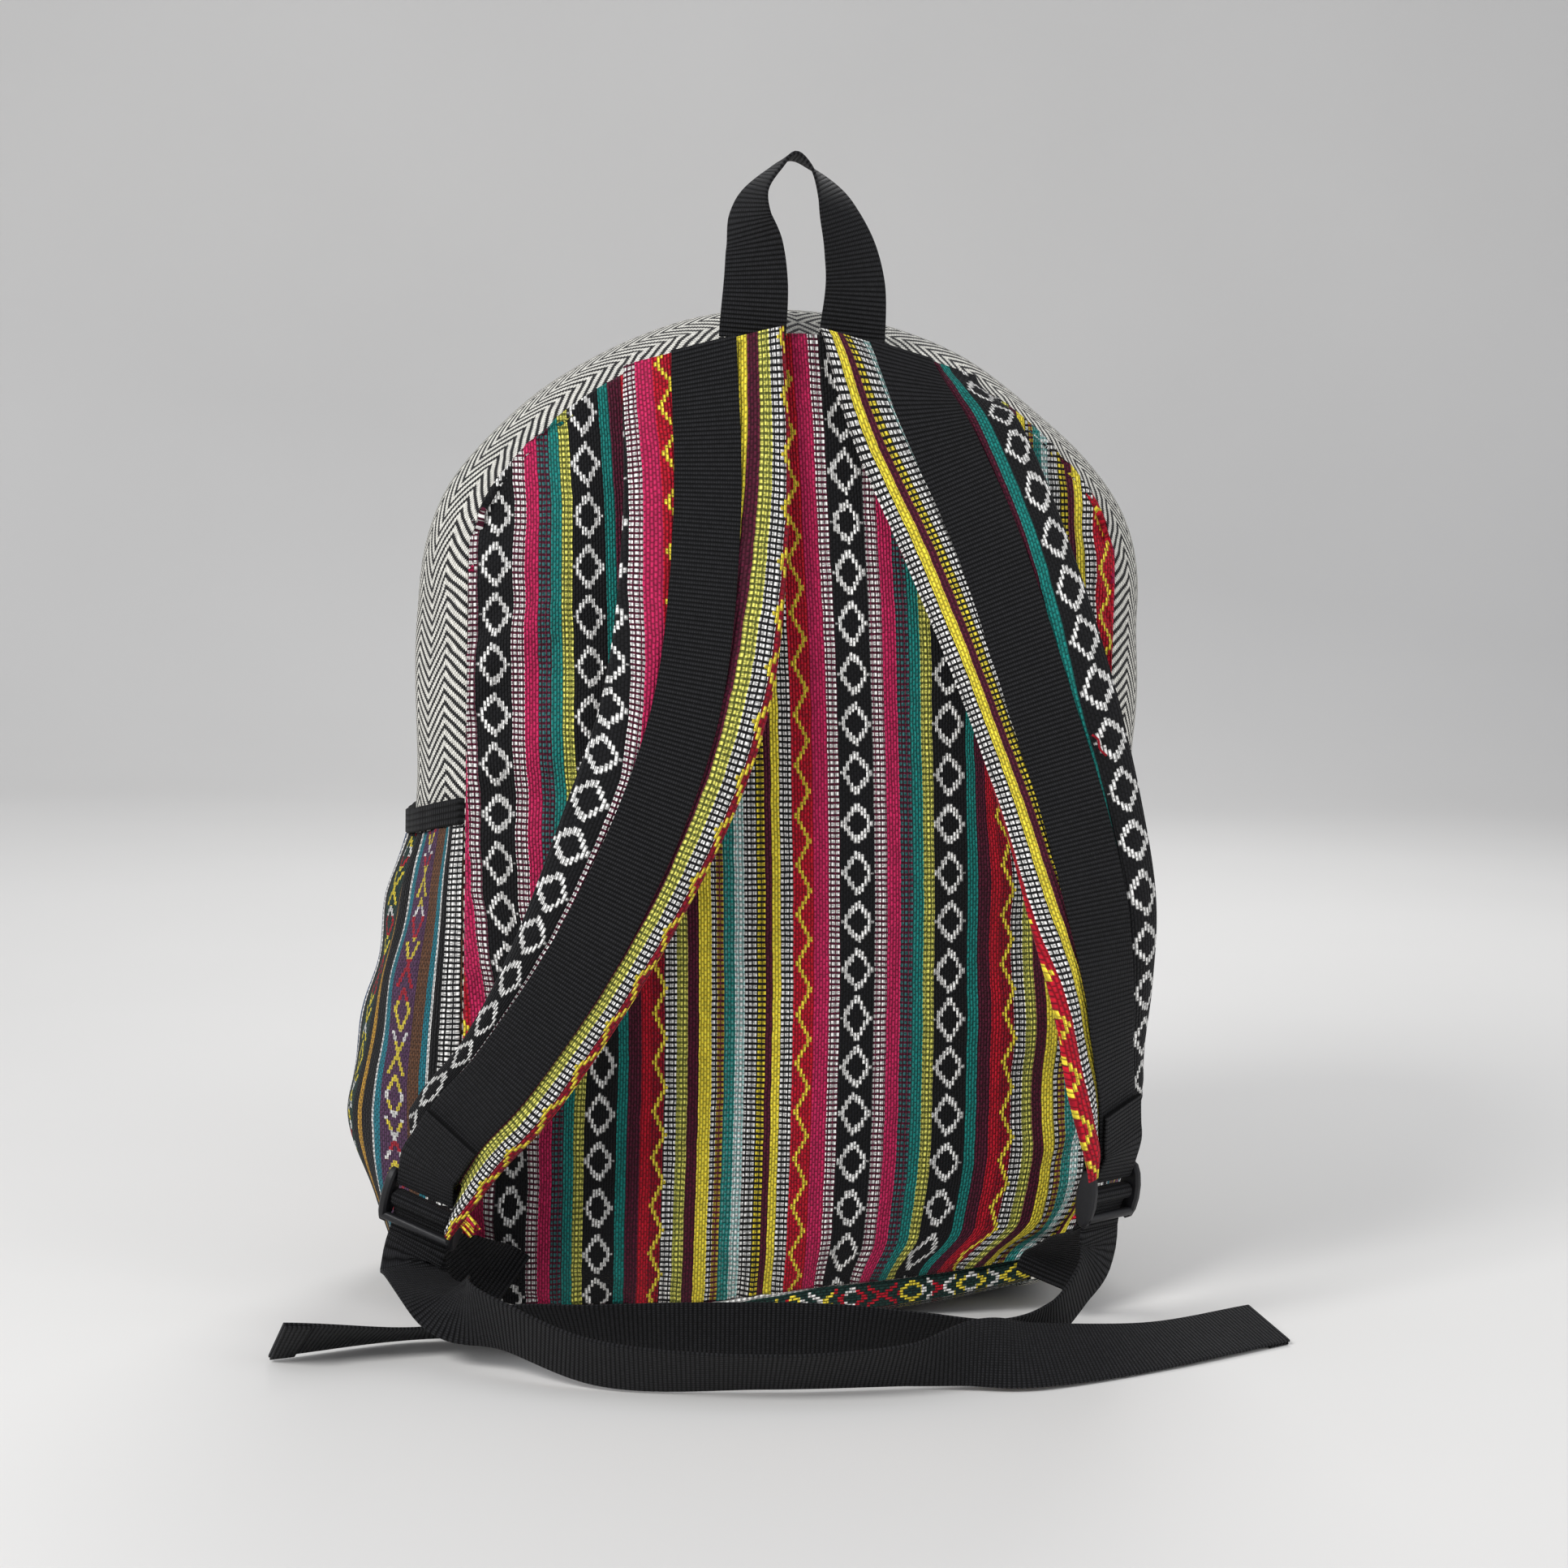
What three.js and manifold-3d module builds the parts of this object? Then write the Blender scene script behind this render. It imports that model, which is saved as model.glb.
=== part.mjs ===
// Backpack of hand-woven striped cotton, stuffed full and standing on its base.
// Millimetres, +Z up. The strap side faces -Y and the front pocket faces +Y.
// The origin is the middle of the base, on the floor.
import * as THREE from "three";
import { mergeVertices } from "three/addons/utils/BufferGeometryUtils.js";
import Module from "manifold-3d";

const wasm = await Module();
wasm.setup();

// Bag: panels, gusset and base
const PANEL_WIDTH = 296;
const PANEL_HEIGHT = 455; // floor to the top seam
const ARCH_RISE = 108;
const ARCH_CORNER_R = 70;
const BASE_CORNER_R = 30;
const BAG_DEPTH = 140; // between the rims of the back and front panels
const PANEL_RIM = 5;
const BACK_CROWN = 14;
const FRONT_CROWN = 16;
const SIDE_BULGE = 25; // gusset beyond the seam line, halfway between the panels
const TOP_BULGE = 11;
const FABRIC_WALL = 3;
const BASE_THICKNESS = 5.7;
const BASE_INSET = 16; // base edge inside the side seams
const SEAM_GAP = 0.3;
const SPRING_GAP = 0.8; // where the arch strips meet the side gussets
const ROUND_STEPS = 5;
const CROWN_STEPS = 12;
const SIDE_STEPS = 6; // closer together towards the base
const GUSSET_STEPS = 10; // across the bag, between the two panels
const CROWN_SHOULDER = 2.4; // how far out a panel stays full
const CROWN_ROUNDING = 0.75; // how steeply it then falls to its rim

// Zips
const ZIP_Y = 30; // main zip, in front of the middle of the gusset
const CHAIN_WIDTH = 4;
const CHAIN_HEIGHT = 2.4;
const CHAIN_PROUD = 1.2; // chain top above the tape
const TAPE_WIDTH = 7; // the part of each tape that shows
const TAPE_THICKNESS = 1.2;
const TAPE_RECESS = 0.4;
const ZIP_END_GAP = 1;
const SLIDER_LENGTH = 12;
const SLIDER_WIDTH = 9.6;
const SLIDER_PLATE = 1.3;
const SLIDER_CORNER_R = 2.5;
const FLANGE_LENGTH = 8.4;
const LUG_LENGTH = 2.3;
const SLIDER_SPACING = 17; // between the two sliders where they meet
const PIN_R = 0.9;
const PIN_HEIGHT = 2.7; // pull pin above the slider's plate
const PULL_LENGTH = 26;
const PULL_WIDTH = 7.6;
const PULL_THICKNESS = 1.4;
const PULL_DROOP = 8; // degrees, towards the tape
const PULL_EYE_CLEARANCE = 0.35;
const PULL_EYE_WALL = 0.9;
const PULL_HOLE_R = 1.7;
const PULL_END_R = 3.2;
const PULL_NECK_LENGTH = 5.2;

// Side pockets
const POCKET_TOP = 222;
const LEFT_POCKET_BULGE = 33;
const RIGHT_POCKET_BULGE = 6;
const POCKET_MOUTH = 1.5; // slack of the mouth over the gusset
const POCKET_WALL = 2.5;
const POCKET_GAP = 1; // between the pocket's edge and the gusset behind it
const POCKET_SEAM_INSET = 3;
const POUCH_ROUNDING = 0.7; // across the pocket
const POUCH_TAPER = 1.7; // up the pocket: the higher, the nearer the mouth the pouch stays full
const POUCH_FOOT = 0.15; // share of the height in which the foot rounds out
const POCKET_STEPS = 10;
const ELASTIC_HEIGHT = 12;
const ELASTIC_THICKNESS = 3;

// Front pocket
const FRONT_POCKET_WIDTH = 232;
const FRONT_POCKET_BOTTOM = 24;
const FRONT_POCKET_TOP = 212;
const FRONT_POCKET_PROUD = 18; // beyond the crown of the front panel
const FRONT_POCKET_R = 34;
const FRONT_POCKET_EDGE = 9;
const FRONT_ZIP_Z = 172;
const FRONT_ZIP_LENGTH = 188;
const FRONT_SLIDER_MARGIN = 9; // slider centre from the closed end of the zip

// Webbing, straps and buckles
const WEBBING_WIDTH = 30;
const WEBBING_THICKNESS = 1.4;
const STRAP_WIDTH = 74;
const STRAP_END_WIDTH = 50;
const STRAP_THICKNESS = 9;
const STRAP_END_THICKNESS = 6;
const STRAP_TAPER = 40; // length over which the strap end thins
const STRAP_NARROWING = [0.1, 0.75]; // shares of the length between which the strap narrows
const STRAP_STEPS = 22;
const STRAP_SEAM_INSET = 4; // strap top below the seam of the arch
const LOOP_LENGTH = 22; // buckle loop sewn on each face of the strap end
const HANDLE_LEG_X = 22.5;
const HANDLE_HEIGHT = 81;
const HANDLE_LEAN = -6; // the loop's top, to the side
const HANDLE_THICKNESS = 1.6;
const HANDLE_SEAM_INSET = 2; // handle ends below the top seam
const HANDLE_STEPS = 32;
const BAR_R = 2;
const RAIL_WIDTH = 4;
const RAIL_HEIGHT = 10.4;
const RAIL_OVERHANG = 2; // rail ends beyond the outer bars
const RAIL_ROUNDING = 1;
const BUCKLE_SIDE_CLEARANCE = 1; // between a webbing edge and the buckle's rail
const SEWN_BAR = [12.5, 0]; // buckle bars: distance past the strap end, height over its middle
const MIDDLE_BAR = [22, 1.5];
const LIP_BAR = [31.5, 3.5];
const LEFT_BUCKLE_SWING = 20; // degrees that a buckle hangs steeper than its strap end
const RIGHT_BUCKLE_SWING = -16;
const THREADED_LENGTH = 50; // webbing inside the buckle
const THREADED_STEPS = 28;
const LOAD_STEPS = 10; // from the sewn corner up to the buckle
const LOAD_ENTRY = 37; // where that webbing runs in under the buckle
const LOOP_EASE = 0.7; // slack of the loop over the strap end
const TAIL_START = 38.5; // where the loose tail leaves the buckle's lip
const TAIL_STRAIGHT = 11; // straight out of the buckle before it drops
const TAIL_TWIST = 90; // length in which the tail turns on to its edge
const TAIL_TWIST_STEPS = 18;
const TAIL_FLOOR_STEPS = 22;
const CORNER_SEAT = 6.6; // adjuster webbing over the panel's rim, where it is sewn on
const CORNER_FROM_SIDE = 24;
const CORNER_FROM_BASE = 14;
const CORNER_SEWN = 9; // sewn length
const FLOOR_CLEARANCE = 1.6; // under the loose tails

// Carry handle: share of the leg's distance from the middle, share of the height, and the turn
// of the webbing about the upright, in degrees
const HANDLE = [
  [-1, 0, 0],
  [-0.93, 0.3, 20],
  [-0.93, 0.5, 36],
  [-0.98, 0.67, 56],
  [-0.83, 0.8, 70],
  [-0.42, 0.92, 80],
  [0, 1, 90],
  [0.33, 0.94, 100],
  [0.66, 0.8, 122],
  [0.84, 0.66, 136],
  [0.99, 0.5, 148],
  [1.07, 0.3, 160],
  [1, 0, 180],
];

// Shoulder straps: share of the half width, share of the panel height, bow from the
// panel's rim, and the turn of the strap's face to the side, in degrees
const LEFT_STRAP = [
  [-0.3, 0, 8.6, 0],
  [-0.29, 0.815, 24, 0],
  [-0.36, 0.62, 46, -2],
  [-0.58, 0.435, 56, -8],
  [-0.86, 0.28, 46, -20],
  [-0.99, 0.226, 37, -25],
  [-1.075, 0.18, 29, -27],
];
const RIGHT_STRAP = [
  [0.3, 0, 8.6, 0],
  [0.54, 0.815, 24, 2],
  [0.78, 0.62, 44, 5],
  [0.91, 0.47, 52, 12],
  [0.95, 0.37, 52, 34],
  [0.965, 0.28, 46, 46],
  [0.99, 0.204, 39, 44],
];

// Loose webbing tails on the floor: x, y, and the lean of the webbing from standing on
// its edge to lying flat, in degrees. Stations of the drop from the buckle give their height.
const LEFT_TAIL_DROP = [
  [-154, -134, 28],
  [-130, -162, 26],
];
const LEFT_TAIL_FLOOR = [
  [-88, -182, 34],
  [-16, -191, 44],
  [46, -186, 36],
  [104, -170, 22],
  [166, -138, 40],
  [226, -104, 58],
];
const RIGHT_TAIL_DROP = [
  [134, -122, 31],
];
const RIGHT_TAIL_FLOOR = [
  [116, -134, 30],
  [90, -143, 44],
  [54, -149, 30],
  [10, -152, 8],
  [-44, -150, 8],
  [-92, -141, 26],
  [-130, -122, 48],
  [-166, -114, 58],
  [-226, -124, 66],
];

// Derived places
const halfWidth = PANEL_WIDTH / 2;
const halfDepth = BAG_DEPTH / 2;
const panelBottom = BASE_THICKNESS + SEAM_GAP;
const cornerTop = panelBottom + BASE_CORNER_R;
const panelMiddle = (PANEL_HEIGHT + panelBottom) / 2;
const springZ = PANEL_HEIGHT - ARCH_RISE;
const cornerX = halfWidth - ARCH_CORNER_R;
const crownR =
  (cornerX ** 2 + ARCH_RISE ** 2 - ARCH_CORNER_R ** 2) / (2 * (ARCH_RISE - ARCH_CORNER_R));
const crownZ = PANEL_HEIGHT - crownR;
const crownStart = Math.atan2(springZ - crownZ, cornerX);
const rimY = halfDepth + PANEL_RIM;

const X = new THREE.Vector3(1, 0, 0);
const Y = new THREE.Vector3(0, 1, 0);
const point = (x, y, z) => new THREE.Vector3(x, y, z);
const smooth = (value, low, high) => THREE.MathUtils.smoothstep(value, low, high);
const radians = (degrees) => THREE.MathUtils.degToRad(degrees);

// Materials
const material = (color, roughness, metalness = 0) =>
  new THREE.MeshStandardMaterial({ color, roughness, metalness });
const stripedCotton = material(0x8a2438, 0.9);
const herringbone = material(0x8f8f88, 0.92);
const pocketCotton = material(0x4a3140, 0.9);
const baseCotton = material(0x15302c, 0.9);
const blackWebbing = material(0x14161a, 0.7);
const blackPlastic = material(0x1b1c1e, 0.45);
const zipNylon = material(0x17181a, 0.6);
const zipMetal = material(0x8a8a86, 0.35, 1);

// Triangles that close a flat ring, turned the same way as the ring
function capFaces(ring) {
  const normal = point(0, 0, 0);
  ring.forEach((p, i) => {
    const q = ring[(i + 1) % ring.length];
    normal.add(p.clone().cross(q));
  });
  normal.normalize();
  const right = Math.abs(normal.x) < 0.9 ? X.clone().cross(normal) : Y.clone().cross(normal);
  right.normalize();
  const up = normal.clone().cross(right);
  const flat = ring.map((p) => new THREE.Vector2(p.dot(right), p.dot(up)));
  const turn = ([a, b, c]) => flat[b].clone().sub(flat[a]).cross(flat[c].clone().sub(flat[a]));
  const faces = THREE.ShapeUtils.triangulateShape(flat, []);
  return turn(faces[0]) < 0 ? faces.map(([a, b, c]) => [c, b, a]) : faces;
}

// A closed solid through rings of equally many points, with flat ends. The second half of a ring
// goes back along the first half, and the two are split along the same diagonals, so that a
// twisted wall keeps its thickness.
function loft(rings) {
  const count = rings[0].length;
  const last = (rings.length - 1) * count;
  const faces = [];
  for (let start = 0; start < last; start += count) {
    for (let i = 0; i < count; i++) {
      const here = start + i;
      const next = start + ((i + 1) % count);
      const [above, nextAbove] = [here + count, next + count];
      if (i < count / 2) faces.push([here, next, nextAbove], [here, nextAbove, above]);
      else faces.push([here, next, above], [next, nextAbove, above]);
    }
  }
  capFaces(rings[0]).forEach(([a, b, c]) => faces.push([c, b, a]));
  capFaces(rings.at(-1)).forEach((face) => faces.push(face.map((i) => i + last)));
  const points = rings.flat();
  const cone = ([a, b, c]) => points[a].dot(points[b].clone().cross(points[c]));
  const volume = faces.reduce((sum, face) => sum + cone(face), 0);
  const index = volume < 0 ? faces.map(([a, b, c]) => [c, b, a]) : faces;
  return new THREE.BufferGeometry().setFromPoints(points).setIndex(index.flat());
}

// Closed meshes to solids that can be joined and cut, and back
function toSolid(geometry) {
  const bare = geometry.clone();
  bare.deleteAttribute("normal");
  bare.deleteAttribute("uv");
  const merged = mergeVertices(bare, 1e-3);
  return new wasm.Manifold(
    new wasm.Mesh({
      numProp: 3,
      vertProperties: merged.attributes.position.array,
      triVerts: new Uint32Array(merged.index.array),
    }),
  );
}
function toGeometry(solid) {
  const { vertProperties, triVerts } = solid.getMesh();
  return new THREE.BufferGeometry()
    .setAttribute("position", new THREE.BufferAttribute(vertProperties, 3))
    .setIndex(new THREE.BufferAttribute(triVerts, 1));
}
const union = (geometries) =>
  toGeometry(geometries.map(toSolid).reduce((all, next) => all.add(next)));
const box = (sizeX, sizeY, sizeZ, x, y, z) =>
  new THREE.BoxGeometry(sizeX, sizeY, sizeZ).translate(x, y, z);

const bag = new THREE.Group();
function add(name, geometry, look, parent = bag) {
  const mesh = new THREE.Mesh(geometry, look);
  mesh.name = name;
  parent.add(mesh);
  return mesh;
}

// Stations round the outline: a point of the seam line and its outward direction
function arcStations(centreX, centreZ, radius, from, to, steps) {
  return Array.from({ length: steps + 1 }, (_, i) => {
    const angle = from + ((to - from) * i) / steps;
    const normal = new THREE.Vector2(Math.cos(angle), Math.sin(angle));
    const seam = new THREE.Vector2(centreX, centreZ).addScaledVector(normal, radius);
    return { seam, normal };
  });
}
const mirrored = ({ seam, normal }) => ({
  seam: new THREE.Vector2(-seam.x, seam.y),
  normal: new THREE.Vector2(-normal.x, normal.y),
});
function archStations() {
  const corner = arcStations(cornerX, springZ, ARCH_CORNER_R, 0, crownStart, ROUND_STEPS);
  const crown = arcStations(0, crownZ, crownR, crownStart, Math.PI - crownStart, CROWN_STEPS);
  return [...corner, ...crown.slice(1, -1), ...corner.map(mirrored).reverse()];
}
function sideStations(side, top = springZ - SPRING_GAP) {
  const straight = Array.from({ length: SIDE_STEPS }, (_, i) => ({
    seam: new THREE.Vector2(halfWidth, cornerTop + (top - cornerTop) * (1 - i / SIDE_STEPS) ** 2),
    normal: new THREE.Vector2(1, 0),
  }));
  const turnX = halfWidth - BASE_CORNER_R;
  const corner = arcStations(turnX, cornerTop, BASE_CORNER_R, 0, -Math.PI / 2, ROUND_STEPS);
  const right = [...straight, ...corner];
  return side > 0 ? right : right.map(mirrored);
}
const outline = [
  ...sideStations(1, springZ).reverse(),
  ...archStations().slice(1, -1),
  ...sideStations(-1, springZ),
].map((station) => station.seam);

// Panels: a crowned pad, thickest in the middle, with a thin sewn rim
const CROWN_RINGS = [1, 0.96, 0.86, 0.66, 0.35];
const crownShare = (scale) => Math.max(0, 1 - scale ** CROWN_SHOULDER) ** CROWN_ROUNDING;
function panelRing(scale, y) {
  return outline.map((seam) => point(seam.x * scale, y, panelMiddle + (seam.y - panelMiddle) * scale));
}
function panelSolid(facing, innerCrown, outerCrown, clearance = 0) {
  const face = (start, crown) =>
    CROWN_RINGS.map((scale) => panelRing(scale, facing * (start + crown * crownShare(scale))));
  return loft([...face(halfDepth, innerCrown).reverse(), ...face(rimY + clearance, outerCrown)]);
}
add("back_panel", panelSolid(-1, 0, BACK_CROWN), stripedCotton);
add("front_panel", panelSolid(1, FRONT_CROWN, FRONT_CROWN), stripedCotton);

// Gusset: strips that bulge between the two panels, sewn round the arch and down the sides
// The bulge grows from the top to the sides, so that each line round the crown stays a circle:
// a wider one, with its centre lower
const bulge = (y) => 1 - (y / halfDepth) ** 2;
const sag = SIDE_BULGE - TOP_BULGE;
function span(from, to, steps) {
  return Array.from({ length: steps + 1 }, (_, i) => from + ((to - from) * i) / steps);
}
// A strip with its section at each station given as a height over the seam line across the bag
function strip(stations, from, to, steps, wall, riseAt, sagAt) {
  const across = span(from, to, steps);
  return loft(
    stations.map((station) => {
      const rise = riseAt(station);
      const drop = sagAt(station);
      const place = (y, depth) => {
        const height = rise(y) - depth;
        const { seam, normal } = station;
        return point(seam.x + normal.x * height, y, seam.y + normal.y * height - drop(y));
      };
      return [...across.map((y) => place(y, 0)), ...across.map((y) => place(y, wall)).reverse()];
    }),
  );
}
const seamY = halfDepth - SEAM_GAP;
const zipRise = SIDE_BULGE * bulge(ZIP_Y);
const zipSag = sag * bulge(ZIP_Y);
const tapeInner = CHAIN_WIDTH / 2 + SEAM_GAP;
const tapeOuter = tapeInner + TAPE_WIDTH;
const slotHalf = tapeOuter + SEAM_GAP;
const wholeArch = archStations();
const sideRise = (y) => SIDE_BULGE * bulge(y);
const sideSag = (y) => sag * bulge(y);
const archStrip = (from, to, steps, wall, rise, drop) =>
  strip(wholeArch, from, to, steps, wall, () => rise, () => drop);
const rearStrip = [-seamY, ZIP_Y - slotHalf, 0.6 * GUSSET_STEPS];
const frontStrip = [ZIP_Y + slotHalf, seamY, 0.3 * GUSSET_STEPS];
add("arch_gusset_rear", archStrip(...rearStrip, FABRIC_WALL, sideRise, sideSag), herringbone);
add("arch_gusset_front", archStrip(...frontStrip, FABRIC_WALL, sideRise, sideSag), herringbone);

// On the sides the bulge fades out towards the base, and the sag from the spring line down
const riseFade = (height) => smooth(height, panelBottom, panelBottom + 3 * BASE_CORNER_R);
const sagFade = (height) => Math.max(0, (height - cornerTop) / (springZ - cornerTop));
const fadedRise = ({ seam }) => (y) => sideRise(y) * riseFade(seam.y);
const fadedSag = ({ seam }) => (y) => sideSag(y) * sagFade(seam.y);
for (const [name, side] of [["left", -1], ["right", 1]]) {
  const across = [-seamY, seamY, GUSSET_STEPS];
  const wall = strip(sideStations(side), ...across, FABRIC_WALL, fadedRise, fadedSag);
  add(`${name}_side_gusset`, wall, herringbone);
}

// Base: a padded flat panel under both rims
function roundedRectangle(width, height, radius) {
  const x = width / 2 - radius;
  const y = height / 2 - radius;
  const shape = new THREE.Shape();
  shape.absarc(x, y, radius, 0, Math.PI / 2);
  shape.absarc(-x, y, radius, Math.PI / 2, Math.PI);
  shape.absarc(-x, -y, radius, Math.PI, 1.5 * Math.PI);
  shape.absarc(x, -y, radius, 1.5 * Math.PI, 2 * Math.PI);
  return shape;
}
const plate = (shape, depth, curveSegments) =>
  new THREE.ExtrudeGeometry(shape, { depth, bevelEnabled: false, curveSegments });
const basePlan = roundedRectangle(PANEL_WIDTH - 2 * BASE_INSET, 2 * rimY, BASE_CORNER_R / 2);
add("base_panel", plate(basePlan, BASE_THICKNESS, 3), baseCotton);

// Main zip round the arch: two tapes and the closed chain between them
const raised = ({ seam, normal }) => ({
  seam: new THREE.Vector2(seam.x, seam.y + ZIP_END_GAP),
  normal,
});
const zipArch = [raised(wholeArch[0]), ...wholeArch.slice(1, -1), raised(wholeArch.at(-1))];
function zipStrip(from, to, thickness, proud) {
  const rise = zipRise - TAPE_RECESS + proud;
  return strip(zipArch, ZIP_Y + from, ZIP_Y + to, 1, thickness, () => () => rise, () => () => zipSag);
}
add("main_zip_tape_rear", zipStrip(-tapeOuter, -tapeInner, TAPE_THICKNESS, 0), zipNylon);
add("main_zip_tape_front", zipStrip(tapeInner, tapeOuter, TAPE_THICKNESS, 0), zipNylon);
add("main_zip_chain", zipStrip(-CHAIN_WIDTH / 2, CHAIN_WIDTH / 2, CHAIN_HEIGHT, CHAIN_PROUD), zipNylon);

// Zip slider on its chain, in its own frame: X along the zip, Y across, Z out of the tape,
// with the origin on the tape's face
const channelTop = CHAIN_PROUD + SEAM_GAP;
const plateTop = channelTop + SLIDER_PLATE;
const pinZ = plateTop + PIN_HEIGHT;
const eyeR = PIN_R + PULL_EYE_CLEARANCE;
const barrelR = eyeR + PULL_EYE_WALL;
const barrelWidth = CHAIN_WIDTH;
const lugInner = barrelWidth / 2 + SEAM_GAP;
function sliderGeometry() {
  const plan = roundedRectangle(SLIDER_LENGTH, SLIDER_WIDTH, SLIDER_CORNER_R);
  const flangeWidth = SLIDER_WIDTH / 2 - CHAIN_WIDTH / 2 - SEAM_GAP;
  const flangeY = SLIDER_WIDTH / 2 - flangeWidth / 2;
  const flangeHeight = plateTop - SEAM_GAP;
  const flangeZ = SEAM_GAP + flangeHeight / 2;
  const lugThickness = SLIDER_WIDTH / 2 - lugInner;
  const lugY = lugInner + lugThickness / 2;
  const lugHeight = pinZ + PIN_R - channelTop;
  const lugZ = channelTop + lugHeight / 2;
  const pin = new THREE.CylinderGeometry(PIN_R, PIN_R, SLIDER_WIDTH - lugThickness, 10);
  const pieces = [plate(plan, SLIDER_PLATE, 2).translate(0, 0, channelTop), pin.translate(0, 0, pinZ)];
  for (const side of [-1, 1]) {
    pieces.push(
      box(FLANGE_LENGTH, flangeWidth, flangeHeight, 0, side * flangeY, flangeZ),
      box(LUG_LENGTH, lugThickness, lugHeight, 0, side * lugY, lugZ),
    );
  }
  return union(pieces);
}
// Pull tab in the slider's frame, lying along +X from the pin and drooping to the tape
function pullGeometry() {
  const ring = new THREE.Shape().absarc(0, 0, barrelR, 0, 2 * Math.PI);
  ring.holes.push(new THREE.Path().absarc(0, 0, eyeR, 0, 2 * Math.PI, true));
  const barrel = plate(ring, barrelWidth, 5).translate(0, 0, -barrelWidth / 2).rotateX(Math.PI / 2);
  const tab = roundedRectangle(PULL_LENGTH - 2 * barrelR, PULL_WIDTH, PULL_END_R);
  tab.holes.push(new THREE.Path().absarc(PULL_LENGTH / 5, 0, PULL_HOLE_R, 0, 2 * Math.PI, true));
  const bladeX = PULL_LENGTH / 2 + barrelR;
  const blade = plate(tab, PULL_THICKNESS, 3).translate(bladeX, 0, -PULL_THICKNESS / 2);
  const neckX = eyeR + PULL_NECK_LENGTH / 2;
  const neck = box(PULL_NECK_LENGTH, barrelWidth, PULL_THICKNESS, neckX, 0, 0);
  return union([barrel, neck, blade]).rotateY(radians(PULL_DROOP)).translate(0, 0, pinZ);
}
// Places a slider and its pull on a frame: the zip's direction, the outward direction and a point
function addSlider(prefix, along, out, origin) {
  const seat = new THREE.Group();
  const across = out.clone().cross(along);
  seat.matrixAutoUpdate = false;
  seat.matrix.makeBasis(along, across, out).setPosition(origin);
  bag.add(seat);
  add(`${prefix}_slider`, sliderGeometry(), zipMetal, seat);
  add(`${prefix}_pull`, pullGeometry(), zipMetal, seat);
}
const zipR = crownR + zipRise;
const zipCentre = point(0, ZIP_Y, crownZ - zipSag);
const sliderAngle = SLIDER_SPACING / 2 / zipR;
for (const [name, side] of [["left", -1], ["right", 1]]) {
  const out = point(side * Math.sin(sliderAngle), 0, Math.cos(sliderAngle));
  const along = point(side * Math.cos(sliderAngle), 0, -Math.sin(sliderAngle));
  const seat = zipCentre.clone().addScaledVector(out, zipR - TAPE_RECESS);
  addSlider(`main_${name}`, along, out, seat);
}

// Side pockets: gathered pouches sewn to the side gusset, with an elastic binding on the mouth
const pocketEdge = halfDepth - POCKET_SEAM_INSET;
const pouchShare = (y) => Math.max(0, 1 - (y / pocketEdge) ** 2) ** POUCH_ROUNDING;
const pouchSides = [["left", -1, LEFT_POCKET_BULGE], ["right", 1, RIGHT_POCKET_BULGE]];
for (const [name, side, fullness] of pouchSides) {
  const stations = sideStations(side, POCKET_TOP).slice(0, -2);
  const low = stations.at(-1).seam.y;
  const foot = (height) => Math.sqrt(1 - (1 - Math.min(1, height / POUCH_FOOT)) ** 2);
  const swell = (height) => (1 - height ** POUCH_TAPER) * foot(height);
  const pouch = (height) => fullness * swell(height) + POCKET_MOUTH * height;
  const rise = (station) => (y) => {
    const height = (station.seam.y - low) / (POCKET_TOP - low);
    return fadedRise(station)(y) + POCKET_GAP + POCKET_WALL + pouch(height) * pouchShare(y);
  };
  const across = [-pocketEdge, pocketEdge, POCKET_STEPS];
  add(`${name}_side_pocket`, strip(stations, ...across, POCKET_WALL, rise, fadedSag), pocketCotton);
  const band = [0, ELASTIC_HEIGHT].map((lift) => ({
    seam: new THREE.Vector2(side * halfWidth, POCKET_TOP + SEAM_GAP + lift),
    normal: stations[0].normal,
  }));
  const bandBase = SEAM_GAP + ELASTIC_THICKNESS;
  const bandRise = () => (y) => sideRise(y) + bandBase + POCKET_MOUTH * pouchShare(y);
  const bandSag = () => fadedSag(stations[0]);
  const elastic = strip(band, ...across, ELASTIC_THICKNESS, bandRise, bandSag);
  add(`${name}_pocket_elastic`, elastic, blackWebbing);
}

// Front pocket: a soft box sewn on the front panel, open at the back, with a zip across its face
const pocketFace = rimY + FRONT_CROWN + FRONT_POCKET_PROUD;
const pocketHeight = FRONT_POCKET_TOP - FRONT_POCKET_BOTTOM;
const pocketZ = (FRONT_POCKET_TOP + FRONT_POCKET_BOTTOM) / 2;
function pocketBlock(inset) {
  const radius = FRONT_POCKET_R - inset;
  const edge = FRONT_POCKET_EDGE - inset;
  const shape = roundedRectangle(FRONT_POCKET_WIDTH - 2 * inset, pocketHeight - 2 * inset, radius);
  return new THREE.ExtrudeGeometry(shape, {
    depth: pocketFace - inset - edge - halfDepth,
    bevelThickness: edge,
    bevelSize: edge,
    bevelOffset: -edge,
    bevelSegments: 2,
    curveSegments: 4,
  })
    .rotateX(Math.PI / 2)
    .translate(0, pocketFace - inset - edge, pocketZ);
}
const frontBulk = loft([
  panelRing(1, 0),
  ...CROWN_RINGS.map((scale) => panelRing(scale, rimY + SEAM_GAP + FRONT_CROWN * crownShare(scale))),
]);
const zipSlot = box(
  FRONT_ZIP_LENGTH + 2 * SEAM_GAP, 2 * FRONT_POCKET_EDGE, 2 * slotHalf, 0, pocketFace, FRONT_ZIP_Z,
);
add(
  "front_pocket",
  toGeometry(
    toSolid(pocketBlock(0))
      .subtract(toSolid(pocketBlock(FABRIC_WALL)))
      .subtract(toSolid(frontBulk))
      .subtract(toSolid(zipSlot)),
  ),
  stripedCotton,
);
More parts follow.
